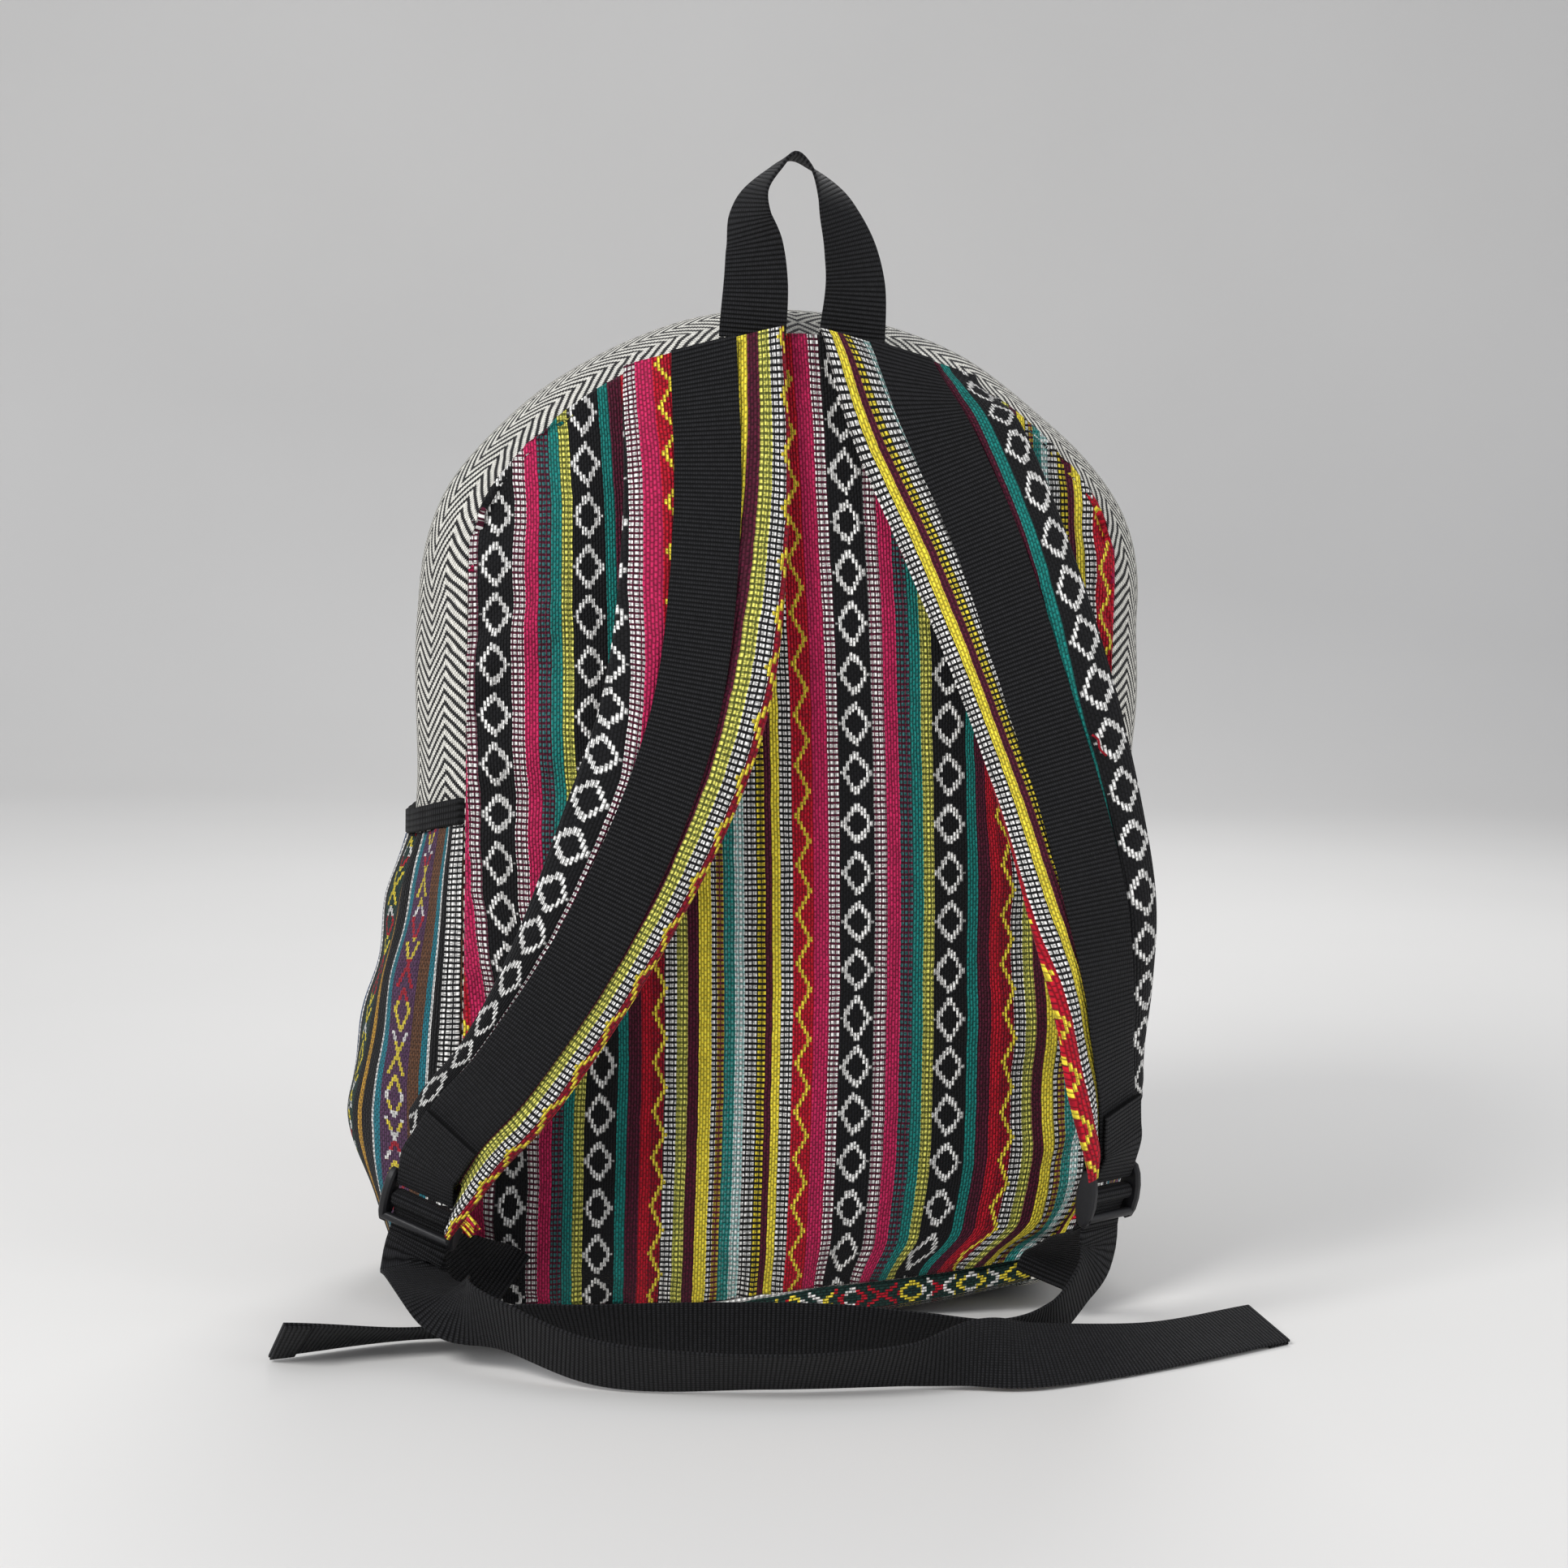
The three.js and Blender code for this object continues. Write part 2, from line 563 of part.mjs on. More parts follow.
const frontTapeY = pocketFace - TAPE_RECESS;
for (const [name, side] of [["upper", 1], ["lower", -1]]) {
  const height = FRONT_ZIP_Z + side * (tapeInner + TAPE_WIDTH / 2);
  add(
    `front_zip_tape_${name}`,
    box(FRONT_ZIP_LENGTH, TAPE_THICKNESS, TAPE_WIDTH, 0, frontTapeY - TAPE_THICKNESS / 2, height),
    zipNylon,
  );
}
const frontChainY = frontTapeY + CHAIN_PROUD - CHAIN_HEIGHT / 2;
add(
  "front_zip_chain",
  box(FRONT_ZIP_LENGTH, CHAIN_HEIGHT, CHAIN_WIDTH, 0, frontChainY, FRONT_ZIP_Z),
  zipNylon,
);
const frontSliderX = FRONT_ZIP_LENGTH / 2 - FRONT_SLIDER_MARGIN;
addSlider("front", X, Y, point(frontSliderX, frontTapeY, FRONT_ZIP_Z));

// A route for a strap or webbing through chosen stations, with the direction of its width at
// each. A place on it is a distance along it, across it and out of its face.
class Route {
  constructor(points, widths, slantedStart = 0) {
    this.line = new THREE.CatmullRomCurve3(points, false, "centripetal");
    this.width = new THREE.CatmullRomCurve3(widths, false, "catmullrom", 0.5);
    this.length = this.line.getLength();
    this.slantedStart = slantedStart; // length over which a slanted cut squares up
  }
  frame(distance) {
    const share = THREE.MathUtils.clamp(distance / this.length, 0, 1);
    const t = this.line.getUtoTmapping(share);
    const along = this.line.getTangent(t);
    const across = this.width.getPoint(t);
    const square = this.slantedStart ? smooth(distance, 0, this.slantedStart) : 1;
    across.addScaledVector(along, -across.dot(along) * square).normalize();
    const origin = this.line.getPoint(t).addScaledVector(along, distance - share * this.length);
    return { origin, along, across, out: along.clone().cross(across).normalize() };
  }
  place(distance, across, out) {
    const frame = this.frame(distance);
    return frame.origin.addScaledVector(frame.across, across).addScaledVector(frame.out, out);
  }
}
// Webbing: a flat band with square edges along a route
function webbing(route, distances, thickness, lift = () => 0) {
  return loft(
    distances.map((distance) => {
      const out = lift(distance);
      return [[1, -1], [-1, -1], [-1, 1], [1, 1]].map(([across, face]) =>
        route.place(distance, (across * WEBBING_WIDTH) / 2, out + (face * thickness) / 2),
      );
    }),
  );
}

// Carry handle: each leg is sewn flat to the top seam and turns a quarter on its way up
const handleBase = PANEL_HEIGHT - HANDLE_SEAM_INSET;
const handleScale = (handleBase - panelMiddle) / (PANEL_HEIGHT - panelMiddle);
const handleY = -(rimY + BACK_CROWN * crownShare(handleScale) + SEAM_GAP + HANDLE_THICKNESS / 2);
const handleRoute = new Route(
  HANDLE.map(([across, up]) =>
    point(across * HANDLE_LEG_X + up ** 2 * HANDLE_LEAN, handleY, handleBase + up * HANDLE_HEIGHT),
  ),
  HANDLE.map(([, , turn]) => point(-Math.cos(radians(turn)), Math.sin(radians(turn)), 0)),
);
const handleSteps = span(0, handleRoute.length, HANDLE_STEPS);
add("top_handle", webbing(handleRoute, handleSteps, HANDLE_THICKNESS), blackWebbing);

// Shoulder strap routes, from the top seam to the strap end
function strapRoute(stations) {
  const points = stations.map(([across, up, bow]) =>
    point(across * halfWidth, -(rimY + bow), up * PANEL_HEIGHT),
  );
  const top = points[0];
  const archAngle = Math.acos(top.x / crownR);
  top.z = crownZ + crownR * Math.sin(archAngle) - STRAP_SEAM_INSET;
  const widths = stations.map(([, , , turn], i) => {
    const before = points[Math.max(0, i - 1)];
    const after = points[Math.min(points.length - 1, i + 1)];
    const angle = radians(turn);
    return point(Math.sin(angle), -Math.cos(angle), 0).cross(after.clone().sub(before)).normalize();
  });
  widths[0] = point(Math.sin(archAngle), 0, -Math.cos(archAngle));
  return new Route(points, widths, STRAP_WIDTH);
}
// Half the strap's thickness, thinner at the sewn end
function strapHalf(route, distance) {
  const share = smooth(distance, route.length - STRAP_TAPER, route.length);
  return THREE.MathUtils.lerp(STRAP_THICKNESS, STRAP_END_THICKNESS, share) / 2;
}
function strapWide(route, distance) {
  const share = smooth(distance / route.length, ...STRAP_NARROWING);
  return THREE.MathUtils.lerp(STRAP_WIDTH, STRAP_END_WIDTH, share);
}
const PAD_SECTION = [
  [1, 0], [0.96, 0.55], [0.86, 0.86], [0.5, 1], [-0.5, 1], [-0.86, 0.86], [-0.96, 0.55],
  [-1, 0], [-0.96, -0.55], [-0.86, -0.86], [0, -1], [0.86, -0.86], [0.96, -0.55],
];
function strapPad(route) {
  return loft(
    span(0, route.length, STRAP_STEPS).map((distance) =>
      PAD_SECTION.map(([across, face]) => {
        const half = strapWide(route, distance) / 2;
        return route.place(distance, across * half, face * strapHalf(route, distance));
      }),
    ),
  );
}

// Ladder buckle: two rounded rails joined by the sewn bar, the middle bar and the lip
const railInner = WEBBING_WIDTH / 2 + BUCKLE_SIDE_CLEARANCE;
const railOuter = railInner + RAIL_WIDTH;
function ladderBuckle() {
  const centre = [0, 1].map((axis) => (SEWN_BAR[axis] + LIP_BAR[axis]) / 2);
  const halfLength = (LIP_BAR[0] - SEWN_BAR[0]) / 2 + BAR_R + RAIL_OVERHANG;
  const rail = new THREE.Shape().absellipse(...centre, halfLength, RAIL_HEIGHT / 2, 0, 2 * Math.PI);
  const settings = {
    depth: RAIL_WIDTH - 2 * RAIL_ROUNDING,
    bevelThickness: RAIL_ROUNDING,
    bevelSize: RAIL_ROUNDING,
    bevelOffset: -RAIL_ROUNDING,
    bevelSegments: 1,
    curveSegments: 7,
  };
  const rails = [railInner, -railOuter].map((start) =>
    new THREE.ExtrudeGeometry(rail, settings).translate(0, 0, start + RAIL_ROUNDING),
  );
  const bars = [SEWN_BAR, MIDDLE_BAR, LIP_BAR].map(([distance, out]) =>
    new THREE.CylinderGeometry(BAR_R, BAR_R, 2 * railInner + RAIL_WIDTH, 12)
      .rotateX(Math.PI / 2)
      .translate(distance, out, 0),
  );
  return union([...rails, ...bars]);
}

// Webbing round the buckle as pairs of distance past the strap end and height over its middle
const wrap = BAR_R + 1.3 * SEAM_GAP + WEBBING_THICKNESS / 2;
const around = ([distance, out], radius, degrees) => {
  const angle = radians(degrees);
  return [distance + radius * Math.cos(angle), out + radius * Math.sin(angle)];
};
const loadOut = -(BAR_R + 2.2 * WEBBING_THICKNESS);
const tailOut = LIP_BAR[1] - BAR_R - SEAM_GAP - 1.4 * WEBBING_THICKNESS;
const threadPath = [
  [LOAD_ENTRY, loadOut], [MIDDLE_BAR[0] + 4, loadOut + 0.4], [MIDDLE_BAR[0] - 1.5, loadOut + 1.6],
  ...[180, 135, 90, 45, 0].map((degrees) => around(MIDDLE_BAR, wrap, degrees)),
  [LIP_BAR[0] - 2, tailOut + 0.4], [TAIL_START, tailOut],
];

function addStrap(name, side, stations, swing, drop, floor) {
  const route = strapRoute(stations);
  const end = route.length;
  const lift = (distance) => strapHalf(route, distance) + SEAM_GAP + WEBBING_THICKNESS / 2;
  add(`${name}_shoulder_strap`, strapPad(route), stripedCotton);
  add(
    `${name}_strap_webbing`,
    webbing(route, span(0, end, STRAP_STEPS), WEBBING_THICKNESS, lift),
    blackWebbing,
  );

  // The buckle hangs from the strap end, turned a little towards the plumb line
  const { origin, out, ...straight } = route.frame(end);
  const angle = radians(swing);
  const along = straight.along.clone().applyAxisAngle(out, angle);
  const across = straight.across.clone().applyAxisAngle(out, angle);
  const buckle = new THREE.Group();
  buckle.matrixAutoUpdate = false;
  buckle.matrix.makeBasis(along, out, along.clone().cross(out)).setPosition(origin);
  bag.add(buckle);
  add(`${name}_ladder_buckle`, ladderBuckle(), blackPlastic, buckle);
  const onBuckle = ([distance, height]) =>
    origin.clone().addScaledVector(along, distance).addScaledVector(out, height);

  // Loop: sewn on both faces of the strap end and round the buckle's first bar
  const ply = WEBBING_THICKNESS + SEAM_GAP;
  const leg = (plies, face) => (distance) => {
    const height = strapHalf(route, end + distance) + (plies - 0.5) * ply + LOOP_EASE;
    return route.place(end + distance, 0, face * height);
  };
  const legs = span(-LOOP_LENGTH, 0, 3);
  const legAcross = legs.map((distance) => route.frame(end + distance).across);
  const turns = [80, 45, 0, -45, -80].map((degrees) => onBuckle(around(SEWN_BAR, wrap, degrees)));
  const loop = new Route(
    [...legs.map(leg(2, 1)), ...turns, ...legs.map(leg(1, -1)).reverse()],
    [...legAcross, ...turns.map(() => across), ...legAcross.toReversed()],
  );
  const loopSteps = span(0, loop.length, THREADED_STEPS);
  add(`${name}_buckle_loop`, webbing(loop, loopSteps, WEBBING_THICKNESS), blackWebbing);

  // Adjuster webbing: sewn flat on the panel's lower corner, up to the buckle, round its middle bar
  const thread = threadPath.map(onBuckle);
  const seatX = side * (halfWidth - CORNER_FROM_SIDE);
  const corner = point(seatX, -(rimY + CORNER_SEAT), panelBottom + CORNER_FROM_BASE);
  const towards = thread[0].clone().sub(corner).setY(0).normalize();
  const cornerAcross = point(towards.z, 0, -towards.x);
  const sewn = corner.clone().addScaledVector(towards, CORNER_SEWN);
  const halfway = sewn.clone().lerp(thread[0], 0.5);
  const load = new Route(
    [corner, sewn, halfway, ...thread],
    [cornerAcross, cornerAcross, cornerAcross.clone().add(across), ...thread.map(() => across)],
  );
  const threaded = load.length - THREADED_LENGTH;
  const loadSteps = [
    ...span(0, threaded, LOAD_STEPS),
    ...span(threaded, load.length, THREADED_STEPS).slice(1),
  ];
  add(`${name}_adjuster_webbing`, webbing(load, loadSteps, WEBBING_THICKNESS), blackWebbing);

  // Loose tail: from the buckle's lip to the floor, then along it on edge
  const start = onBuckle([TAIL_START + SEAM_GAP, tailOut]);
  const leaving = onBuckle([TAIL_START + TAIL_STRAIGHT, tailOut + SEAM_GAP]);
  const onFloor = floor.map(([x, y, lean]) => {
    const tilt = radians(lean);
    return point(x, y, (WEBBING_WIDTH * Math.cos(tilt) + WEBBING_THICKNESS) / 2 + FLOOR_CLEARANCE);
  });
  const leanings = floor.map(([, , lean]) => {
    const tilt = radians(lean);
    return point(0, -Math.sin(tilt), Math.cos(tilt)).multiplyScalar(-side);
  });
  const dropping = drop.map((_, i) =>
    across.clone().lerp(leanings[0], (i + 1) / (drop.length + 1)).normalize(),
  );
  const tail = new Route(
    [start, leaving, ...drop.map(([x, y, z]) => point(x, y, z)), ...onFloor],
    [across, across, ...dropping, ...leanings],
  );
  const tailSteps = [
    ...span(0, TAIL_TWIST, TAIL_TWIST_STEPS),
    ...span(TAIL_TWIST, tail.length, TAIL_FLOOR_STEPS).slice(1),
  ];
  add(`${name}_webbing_tail`, webbing(tail, tailSteps, WEBBING_THICKNESS), blackWebbing);
}
addStrap("left", -1, LEFT_STRAP, LEFT_BUCKLE_SWING, LEFT_TAIL_DROP, LEFT_TAIL_FLOOR);
addStrap("right", 1, RIGHT_STRAP, RIGHT_BUCKLE_SWING, RIGHT_TAIL_DROP, RIGHT_TAIL_FLOOR);

export default bag;
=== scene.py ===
# %% [markdown]
# # A hand-woven backpack
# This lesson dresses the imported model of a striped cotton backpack. The CAD model is the fixed
# frame: it says where each panel, strap and buckle is, in metres. Every cloth piece is made again
# here with the softness and the weave of the real one, and rides on the CAD body that carries it.

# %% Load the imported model
import math
from functools import partial, partialmethod

import bmesh
import bpy
import numpy as np
from mathutils import Matrix, Vector, noise


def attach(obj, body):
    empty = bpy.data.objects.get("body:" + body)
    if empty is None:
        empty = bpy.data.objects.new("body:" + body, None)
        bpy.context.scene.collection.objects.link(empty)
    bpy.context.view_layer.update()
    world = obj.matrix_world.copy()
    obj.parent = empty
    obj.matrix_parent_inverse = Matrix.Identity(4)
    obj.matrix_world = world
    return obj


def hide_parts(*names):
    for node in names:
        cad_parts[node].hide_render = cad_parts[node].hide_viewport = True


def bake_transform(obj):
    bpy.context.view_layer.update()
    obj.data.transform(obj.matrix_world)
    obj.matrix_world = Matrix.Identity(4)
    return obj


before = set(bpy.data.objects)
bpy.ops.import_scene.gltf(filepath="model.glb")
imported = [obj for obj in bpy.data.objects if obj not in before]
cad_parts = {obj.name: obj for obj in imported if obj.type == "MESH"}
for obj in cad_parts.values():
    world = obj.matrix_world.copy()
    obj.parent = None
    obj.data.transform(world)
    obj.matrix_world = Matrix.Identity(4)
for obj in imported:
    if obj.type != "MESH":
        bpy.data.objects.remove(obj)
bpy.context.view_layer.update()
scene = bpy.context.scene
scene.view_settings.view_transform = "Standard"
MM, MERGE = 0.001, 1e-6

# %% [markdown]
# The camera comes first. It stands a little to the left of the bag and slightly above its middle,
# with a short telephoto lens, and is rolled by about a degree. A camera looks along its own -Z, so
# three turns place it: the roll, the tilt up to the horizon, and the turn about the upright.

# %% Camera
CAMERA_PLACE, SENSOR, LENS = (-0.1214, -1.3368, 0.3909), 36, 63.97
AZIMUTH, PITCH, ROLL = math.radians(5.35), math.radians(6.25), math.radians(1.35)
camera_data = bpy.data.cameras.new("camera")
camera_data.sensor_width, camera_data.lens = SENSOR, LENS
camera = bpy.data.objects.new("camera", camera_data)
scene.collection.objects.link(camera)
camera.matrix_world = (
    Matrix.Translation(CAMERA_PLACE)
    @ Matrix.Rotation(-AZIMUTH, 4, "Z")
    @ Matrix.Rotation(math.pi / 2 - PITCH, 4, "X")
    @ Matrix.Rotation(ROLL, 4, "Z")
)
scene.camera = camera
print("camera at", CAMERA_PLACE, "lens", LENS)

# %% [markdown]
# Webbing and straps follow routes. A route is a smooth line through a few stations, with the
# direction of the webbing's width at each, so that it can twist. The same splines as in the CAD
# source are used, because a piece here has to lie where its solid lies.

# %% Routes
SAMPLES_PER_STATION = 60


def spline(stations, samples, centripetal):
    """Points of a smooth line through the stations, at sample numbers from 0 to the last one."""
    p = np.array([2 * stations[0] - stations[1], *stations, 2 * stations[-1] - stations[-2]])
    i = np.minimum(samples.astype(int), len(stations) - 2)
    w = (samples - i)[:, None]
    x0, x1, x2, x3 = p[i], p[i + 1], p[i + 2], p[i + 3]
    t1, t2 = (x2 - x0) / 2, (x3 - x1) / 2
    if centripetal:
        d0, d1, d2 = (
            np.sqrt(np.linalg.norm(b - a, axis=1, keepdims=True))
            for a, b in ((x0, x1), (x1, x2), (x2, x3))
        )
        t1 = ((x1 - x0) / d0 - (x2 - x0) / (d0 + d1) + (x2 - x1) / d1) * d1
        t2 = ((x2 - x1) / d1 - (x3 - x1) / (d1 + d2) + (x3 - x2) / d2) * d1
    return x1 + t1 * w + (3 * (x2 - x1) - 2 * t1 - t2) * w**2 + (2 * (x1 - x2) + t1 + t2) * w**3


def smooth(value, low, high):
    share = min(max((value - low) / (high - low), 0.0), 1.0)
    return share * share * (3 - 2 * share)


def between(start, end, share):
    return start + (end - start) * share


def spread(start, end, steps):
    return [start + (end - start) * i / steps for i in range(steps + 1)]


class Route:
    """A line with a width direction. A place on it is along it, across it and out of its face."""

    def __init__(self, points, widths, slanted_start=0.0):
        spans = len(points) - 1
        samples = np.linspace(0, spans, SAMPLES_PER_STATION * spans + 1)
        self.line = spline([np.array(p) for p in points], samples, True)
        self.wide = spline([np.array(w) for w in widths], samples, False)
        self.along = np.gradient(self.line, axis=0)
        steps = np.linalg.norm(np.diff(self.line, axis=0), axis=1)
        self.distances = np.concatenate([[0.0], np.cumsum(steps)])
        self.length = self.distances[-1]
        self.slanted_start = slanted_start
        self.known = {}

    def frame(self, distance):
        if distance not in self.known:
            inside = min(max(distance, 0.0), self.length)
            line, wide, along = (
                Vector([np.interp(inside, self.distances, column) for column in rows.T])
                for rows in (self.line, self.wide, self.along)
            )
            along.normalize()
            square = smooth(distance, 0, self.slanted_start) if self.slanted_start else 1.0
            across = (wide - along * wide.dot(along) * square).normalized()
            origin = line + along * (distance - inside)
            self.known[distance] = origin, along, across, along.cross(across).normalized()
        return self.known[distance]

    def place(self, distance, across, out):
        origin, _, wide, normal = self.frame(distance)
        return origin + wide * across + normal * out


def turned(vector, axis, degrees):
    return Matrix.Rotation(math.radians(degrees), 3, axis) @ vector


# %% [markdown]
# The bag's own sizes are the ones of the CAD source: an arched panel of 296 by 455 mm, 140 mm
# between the two panels, and straps that start at the top seam and end in a ladder buckle. Each
# strap station is a share of the half width, a share of the height, a bow from the panel's rim
# in mm and a turn of the strap's face in degrees. The buckle's own sizes are in mm too.

# %% Sizes, strap routes and buckles
PANEL_HALF, PANEL_TOP, PANEL_BOTTOM, SPRING = 0.148, 0.455, 0.006, 0.347
ARCH_R, BASE_R, HALF_DEPTH, RIM_Y = 0.070, 0.030, 0.070, 0.075
CORNER_X, CORNER_TOP = PANEL_HALF - ARCH_R, PANEL_BOTTOM + BASE_R
ARCH_RISE = PANEL_TOP - SPRING
CROWN_R = (CORNER_X**2 + ARCH_RISE**2 - ARCH_R**2) / (2 * (ARCH_RISE - ARCH_R))
CROWN_Z = PANEL_TOP - CROWN_R
CROWN_START = math.atan2(SPRING - CROWN_Z, CORNER_X)
STRAP_WIDTH, STRAP_END_WIDTH = 0.074, 0.050
STRAP_THICKNESS, STRAP_END_THICKNESS = 0.009, 0.006
STRAP_NARROWING, STRAP_TAPER, STRAP_SEAM_INSET = (0.1, 0.75), 0.040, 0.004
WEBBING_WIDTH, WEBBING_THICKNESS, GAP = 0.030, 0.0014, 0.0003
SEWN_BAR, MIDDLE_BAR, LIP_BAR, BAR_R = (12.5, 0), (22, 1.5), (31.5, 3.5), 2
TAIL_START, TAIL_STRAIGHT, LOAD_ENTRY = 38.5, 11, 37
STRAPS = {
    "left": [
        (-0.3, 0, 8.6, 0), (-0.29, 0.815, 24, 0), (-0.36, 0.62, 46, -2),
        (-0.58, 0.435, 56, -8), (-0.86, 0.28, 46, -20), (-0.99, 0.226, 37, -25),
        (-1.075, 0.18, 29, -27),
    ],
    "right": [
        (0.3, 0, 8.6, 0), (0.54, 0.815, 24, 2), (0.78, 0.62, 44, 5), (0.91, 0.47, 52, 12),
        (0.95, 0.37, 52, 34), (0.965, 0.28, 46, 46), (0.99, 0.204, 39, 44),
    ],
}
BUCKLE_SWING = {"left": 20, "right": -16}
SIDES = {"left": -1, "right": 1}


def strap_route(stations):
    points = [
        Vector((across * PANEL_HALF, -(RIM_Y + bow * MM), up * PANEL_TOP))
        for across, up, bow, _ in stations
    ]
    arch = math.acos(points[0].x / CROWN_R)
    points[0].z = CROWN_Z + CROWN_R * math.sin(arch) - STRAP_SEAM_INSET
    widths = []
    for i, station in enumerate(stations):
        run = points[min(len(points) - 1, i + 1)] - points[max(0, i - 1)]
        turn = math.radians(station[3])
        widths.append(Vector((math.sin(turn), -math.cos(turn), 0)).cross(run).normalized())
    widths[0] = Vector((math.sin(arch), 0, -math.cos(arch)))
    return Route(points, widths, STRAP_WIDTH)


strap_routes = {name: strap_route(stations) for name, stations in STRAPS.items()}


def strap_half(route, distance):
    share = smooth(distance, route.length - STRAP_TAPER, route.length)
    return between(STRAP_THICKNESS, STRAP_END_THICKNESS, share) / 2


def strap_wide(route, distance):
    share = smooth(distance / route.length, *STRAP_NARROWING)
    return between(STRAP_WIDTH, STRAP_END_WIDTH, share)


class Buckle:
    """The frame of a ladder buckle: millimetres past the strap end and over the strap's middle."""

    def __init__(self, name):
        route = strap_routes[name]
        self.origin, along, across, self.out = route.frame(route.length)
        self.along = turned(along, self.out, BUCKLE_SWING[name])
        self.across = turned(across, self.out, BUCKLE_SWING[name])

    def at(self, past, over):
        return self.origin + self.along * past * MM + self.out * over * MM


buckles = {name: Buckle(name) for name in SIDES}
for name, route in strap_routes.items():
    print(name, "strap", round(route.length, 3), "m long, buckle at", tuple(buckles[name].origin))

# %% [markdown]
# A helper turns a grid of faces into a sleeve: a closed band that follows a route, with a section
# that is given as points. The grid is rolled up by moving its vertices, its two long edges are
# merged, and the open ends are filled. The UV map holds the threads: metres across and along.

# %% Sleeves
def sleeve(section, distances, place, threads):
    """section is a list of (across, out) shares; place and threads take one and a distance."""
    columns, rows = len(section), len(distances) - 1
    bm = bmesh.new()
    bmesh.ops.create_grid(bm, x_segments=columns, y_segments=rows, size=0.5)
    uv = bm.loops.layers.uv.new("threads")
    spot = {
        v: (round((v.co.x + 0.5) * columns), distances[round((v.co.y + 0.5) * rows)])
        for v in bm.verts
    }
    for vert, (number, distance) in spot.items():
        vert.co = place(section[number % columns], distance)
    for face in bm.faces:
        for loop in face.loops:
            number, distance = spot[loop.vert]
            loop[uv].uv = threads(section[number % columns], distance)
    bmesh.ops.remove_doubles(bm, verts=bm.verts, dist=MERGE)
    rim = [edge for edge in bm.edges if edge.is_boundary]
    for cap in bmesh.ops.holes_fill(bm, edges=rim, sides=0)["faces"]:
        for loop in cap.loops:
            beside = next(other for other in loop.vert.link_loops if other.face is not cap)
            loop[uv].uv = beside[uv].uv
    bmesh.ops.recalc_face_normals(bm, faces=bm.faces)
    return bm


def piece(name, bm, finish, nodes=(), body="bag", sharp=60):
    """A finished mesh as an object that rides on a body and stands for CAD nodes."""
    mesh = bpy.data.meshes.new(name)
    bm.to_mesh(mesh)
    bm.free()
    mesh.materials.append(finish)
    mesh.shade_smooth()
    mesh.set_sharp_from_angle(angle=math.radians(sharp))
    obj = bpy.data.objects.new(name, mesh)
    scene.collection.objects.link(obj)
    if body:
        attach(obj, body)
    if nodes:
        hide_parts(*nodes)
    print(name, len(mesh.polygons), "faces")
    return obj


WEBBING_SECTION = [
    (1, 0), (0.985, 0.75), (0.93, 1), (0.5, 1), (0, 1), (-0.5, 1), (-0.93, 1), (-0.985, 0.75),
    (-1, 0), (-0.985, -0.75), (-0.93, -1), (-0.5, -1), (0, -1), (0.5, -1), (0.93, -1),
    (0.985, -0.75),
]


def unmoved(distance):
    return 0.0


def webbing(route, distances, lift=unmoved, thickness=WEBBING_THICKNESS, beside=unmoved):
    """A flat band on a route; lift and beside move it out of the route's face and across it."""
    half = WEBBING_WIDTH / 2

    def place(share, distance):
        across = beside(distance) + share[0] * half
        return route.place(distance, across, lift(distance) + share[1] * thickness / 2)

    return sleeve(
        WEBBING_SECTION, distances, place, lambda share, distance: (share[0] * half, distance)
    )


# %% [markdown]
# Patterns on cloth are sums over the surface, and a tree of Math nodes is hard to read. A small
# class lets the sums be written with the usual signs: each sign adds one Math node. Effects that
# several finishes share are node groups with named inputs and outputs.

# %% Short names for shader nodes
def join(tree, item, socket):
    if isinstance(item, Field):
        tree.links.new(item.socket, socket)
    else:
        socket.default_value = item


class Field:
    """A value that changes over the surface."""

    def __init__(self, tree, socket):
        self.tree, self.socket = tree, socket

    def sum(self, operation, *items, first=None):
        node = self.tree.nodes.new("ShaderNodeMath")
        node.operation = operation
        for socket, item in zip(node.inputs, (self if first is None else first, *items)):
            join(self.tree, item, socket)
        return Field(self.tree, node.outputs[0])

    def __rsub__(self, other):
        return self.sum("SUBTRACT", self, first=other)

    __add__ = partialmethod(sum, "ADD")
    __sub__ = partialmethod(sum, "SUBTRACT")
    __mul__ = partialmethod(sum, "MULTIPLY")
    __truediv__ = partialmethod(sum, "DIVIDE")
    __pow__ = partialmethod(sum, "POWER")
    __gt__ = partialmethod(sum, "GREATER_THAN")
    __abs__ = partialmethod(sum, "ABSOLUTE")
    floor = partialmethod(sum, "FLOOR")
    fract = partialmethod(sum, "FRACT")

    def ramp(self, low, high):
        node = self.tree.nodes.new("ShaderNodeMapRange")
        node.interpolation_type = "SMOOTHSTEP"
        for place, item in ((0, self), (1, low), (2, high)):
            join(self.tree, item, node.inputs[place])
        return Field(self.tree, node.outputs[0])


def mixed(share, first, second, blend="MIX"):
    tree = next(item.tree for item in (share, first, second) if isinstance(item, Field))
    node = tree.nodes.new("ShaderNodeMix")
    node.data_type, node.blend_type = "RGBA", blend
    for place, item in ((0, share), (6, first), (7, second)):
        join(tree, item, node.inputs[place])
    return Field(tree, node.outputs[2])


def grey(field):
    node = field.tree.nodes.new("ShaderNodeCombineColor")
    for socket in node.inputs[:3]:
        join(field.tree, field, socket)
    return Field(field.tree, node.outputs[0])


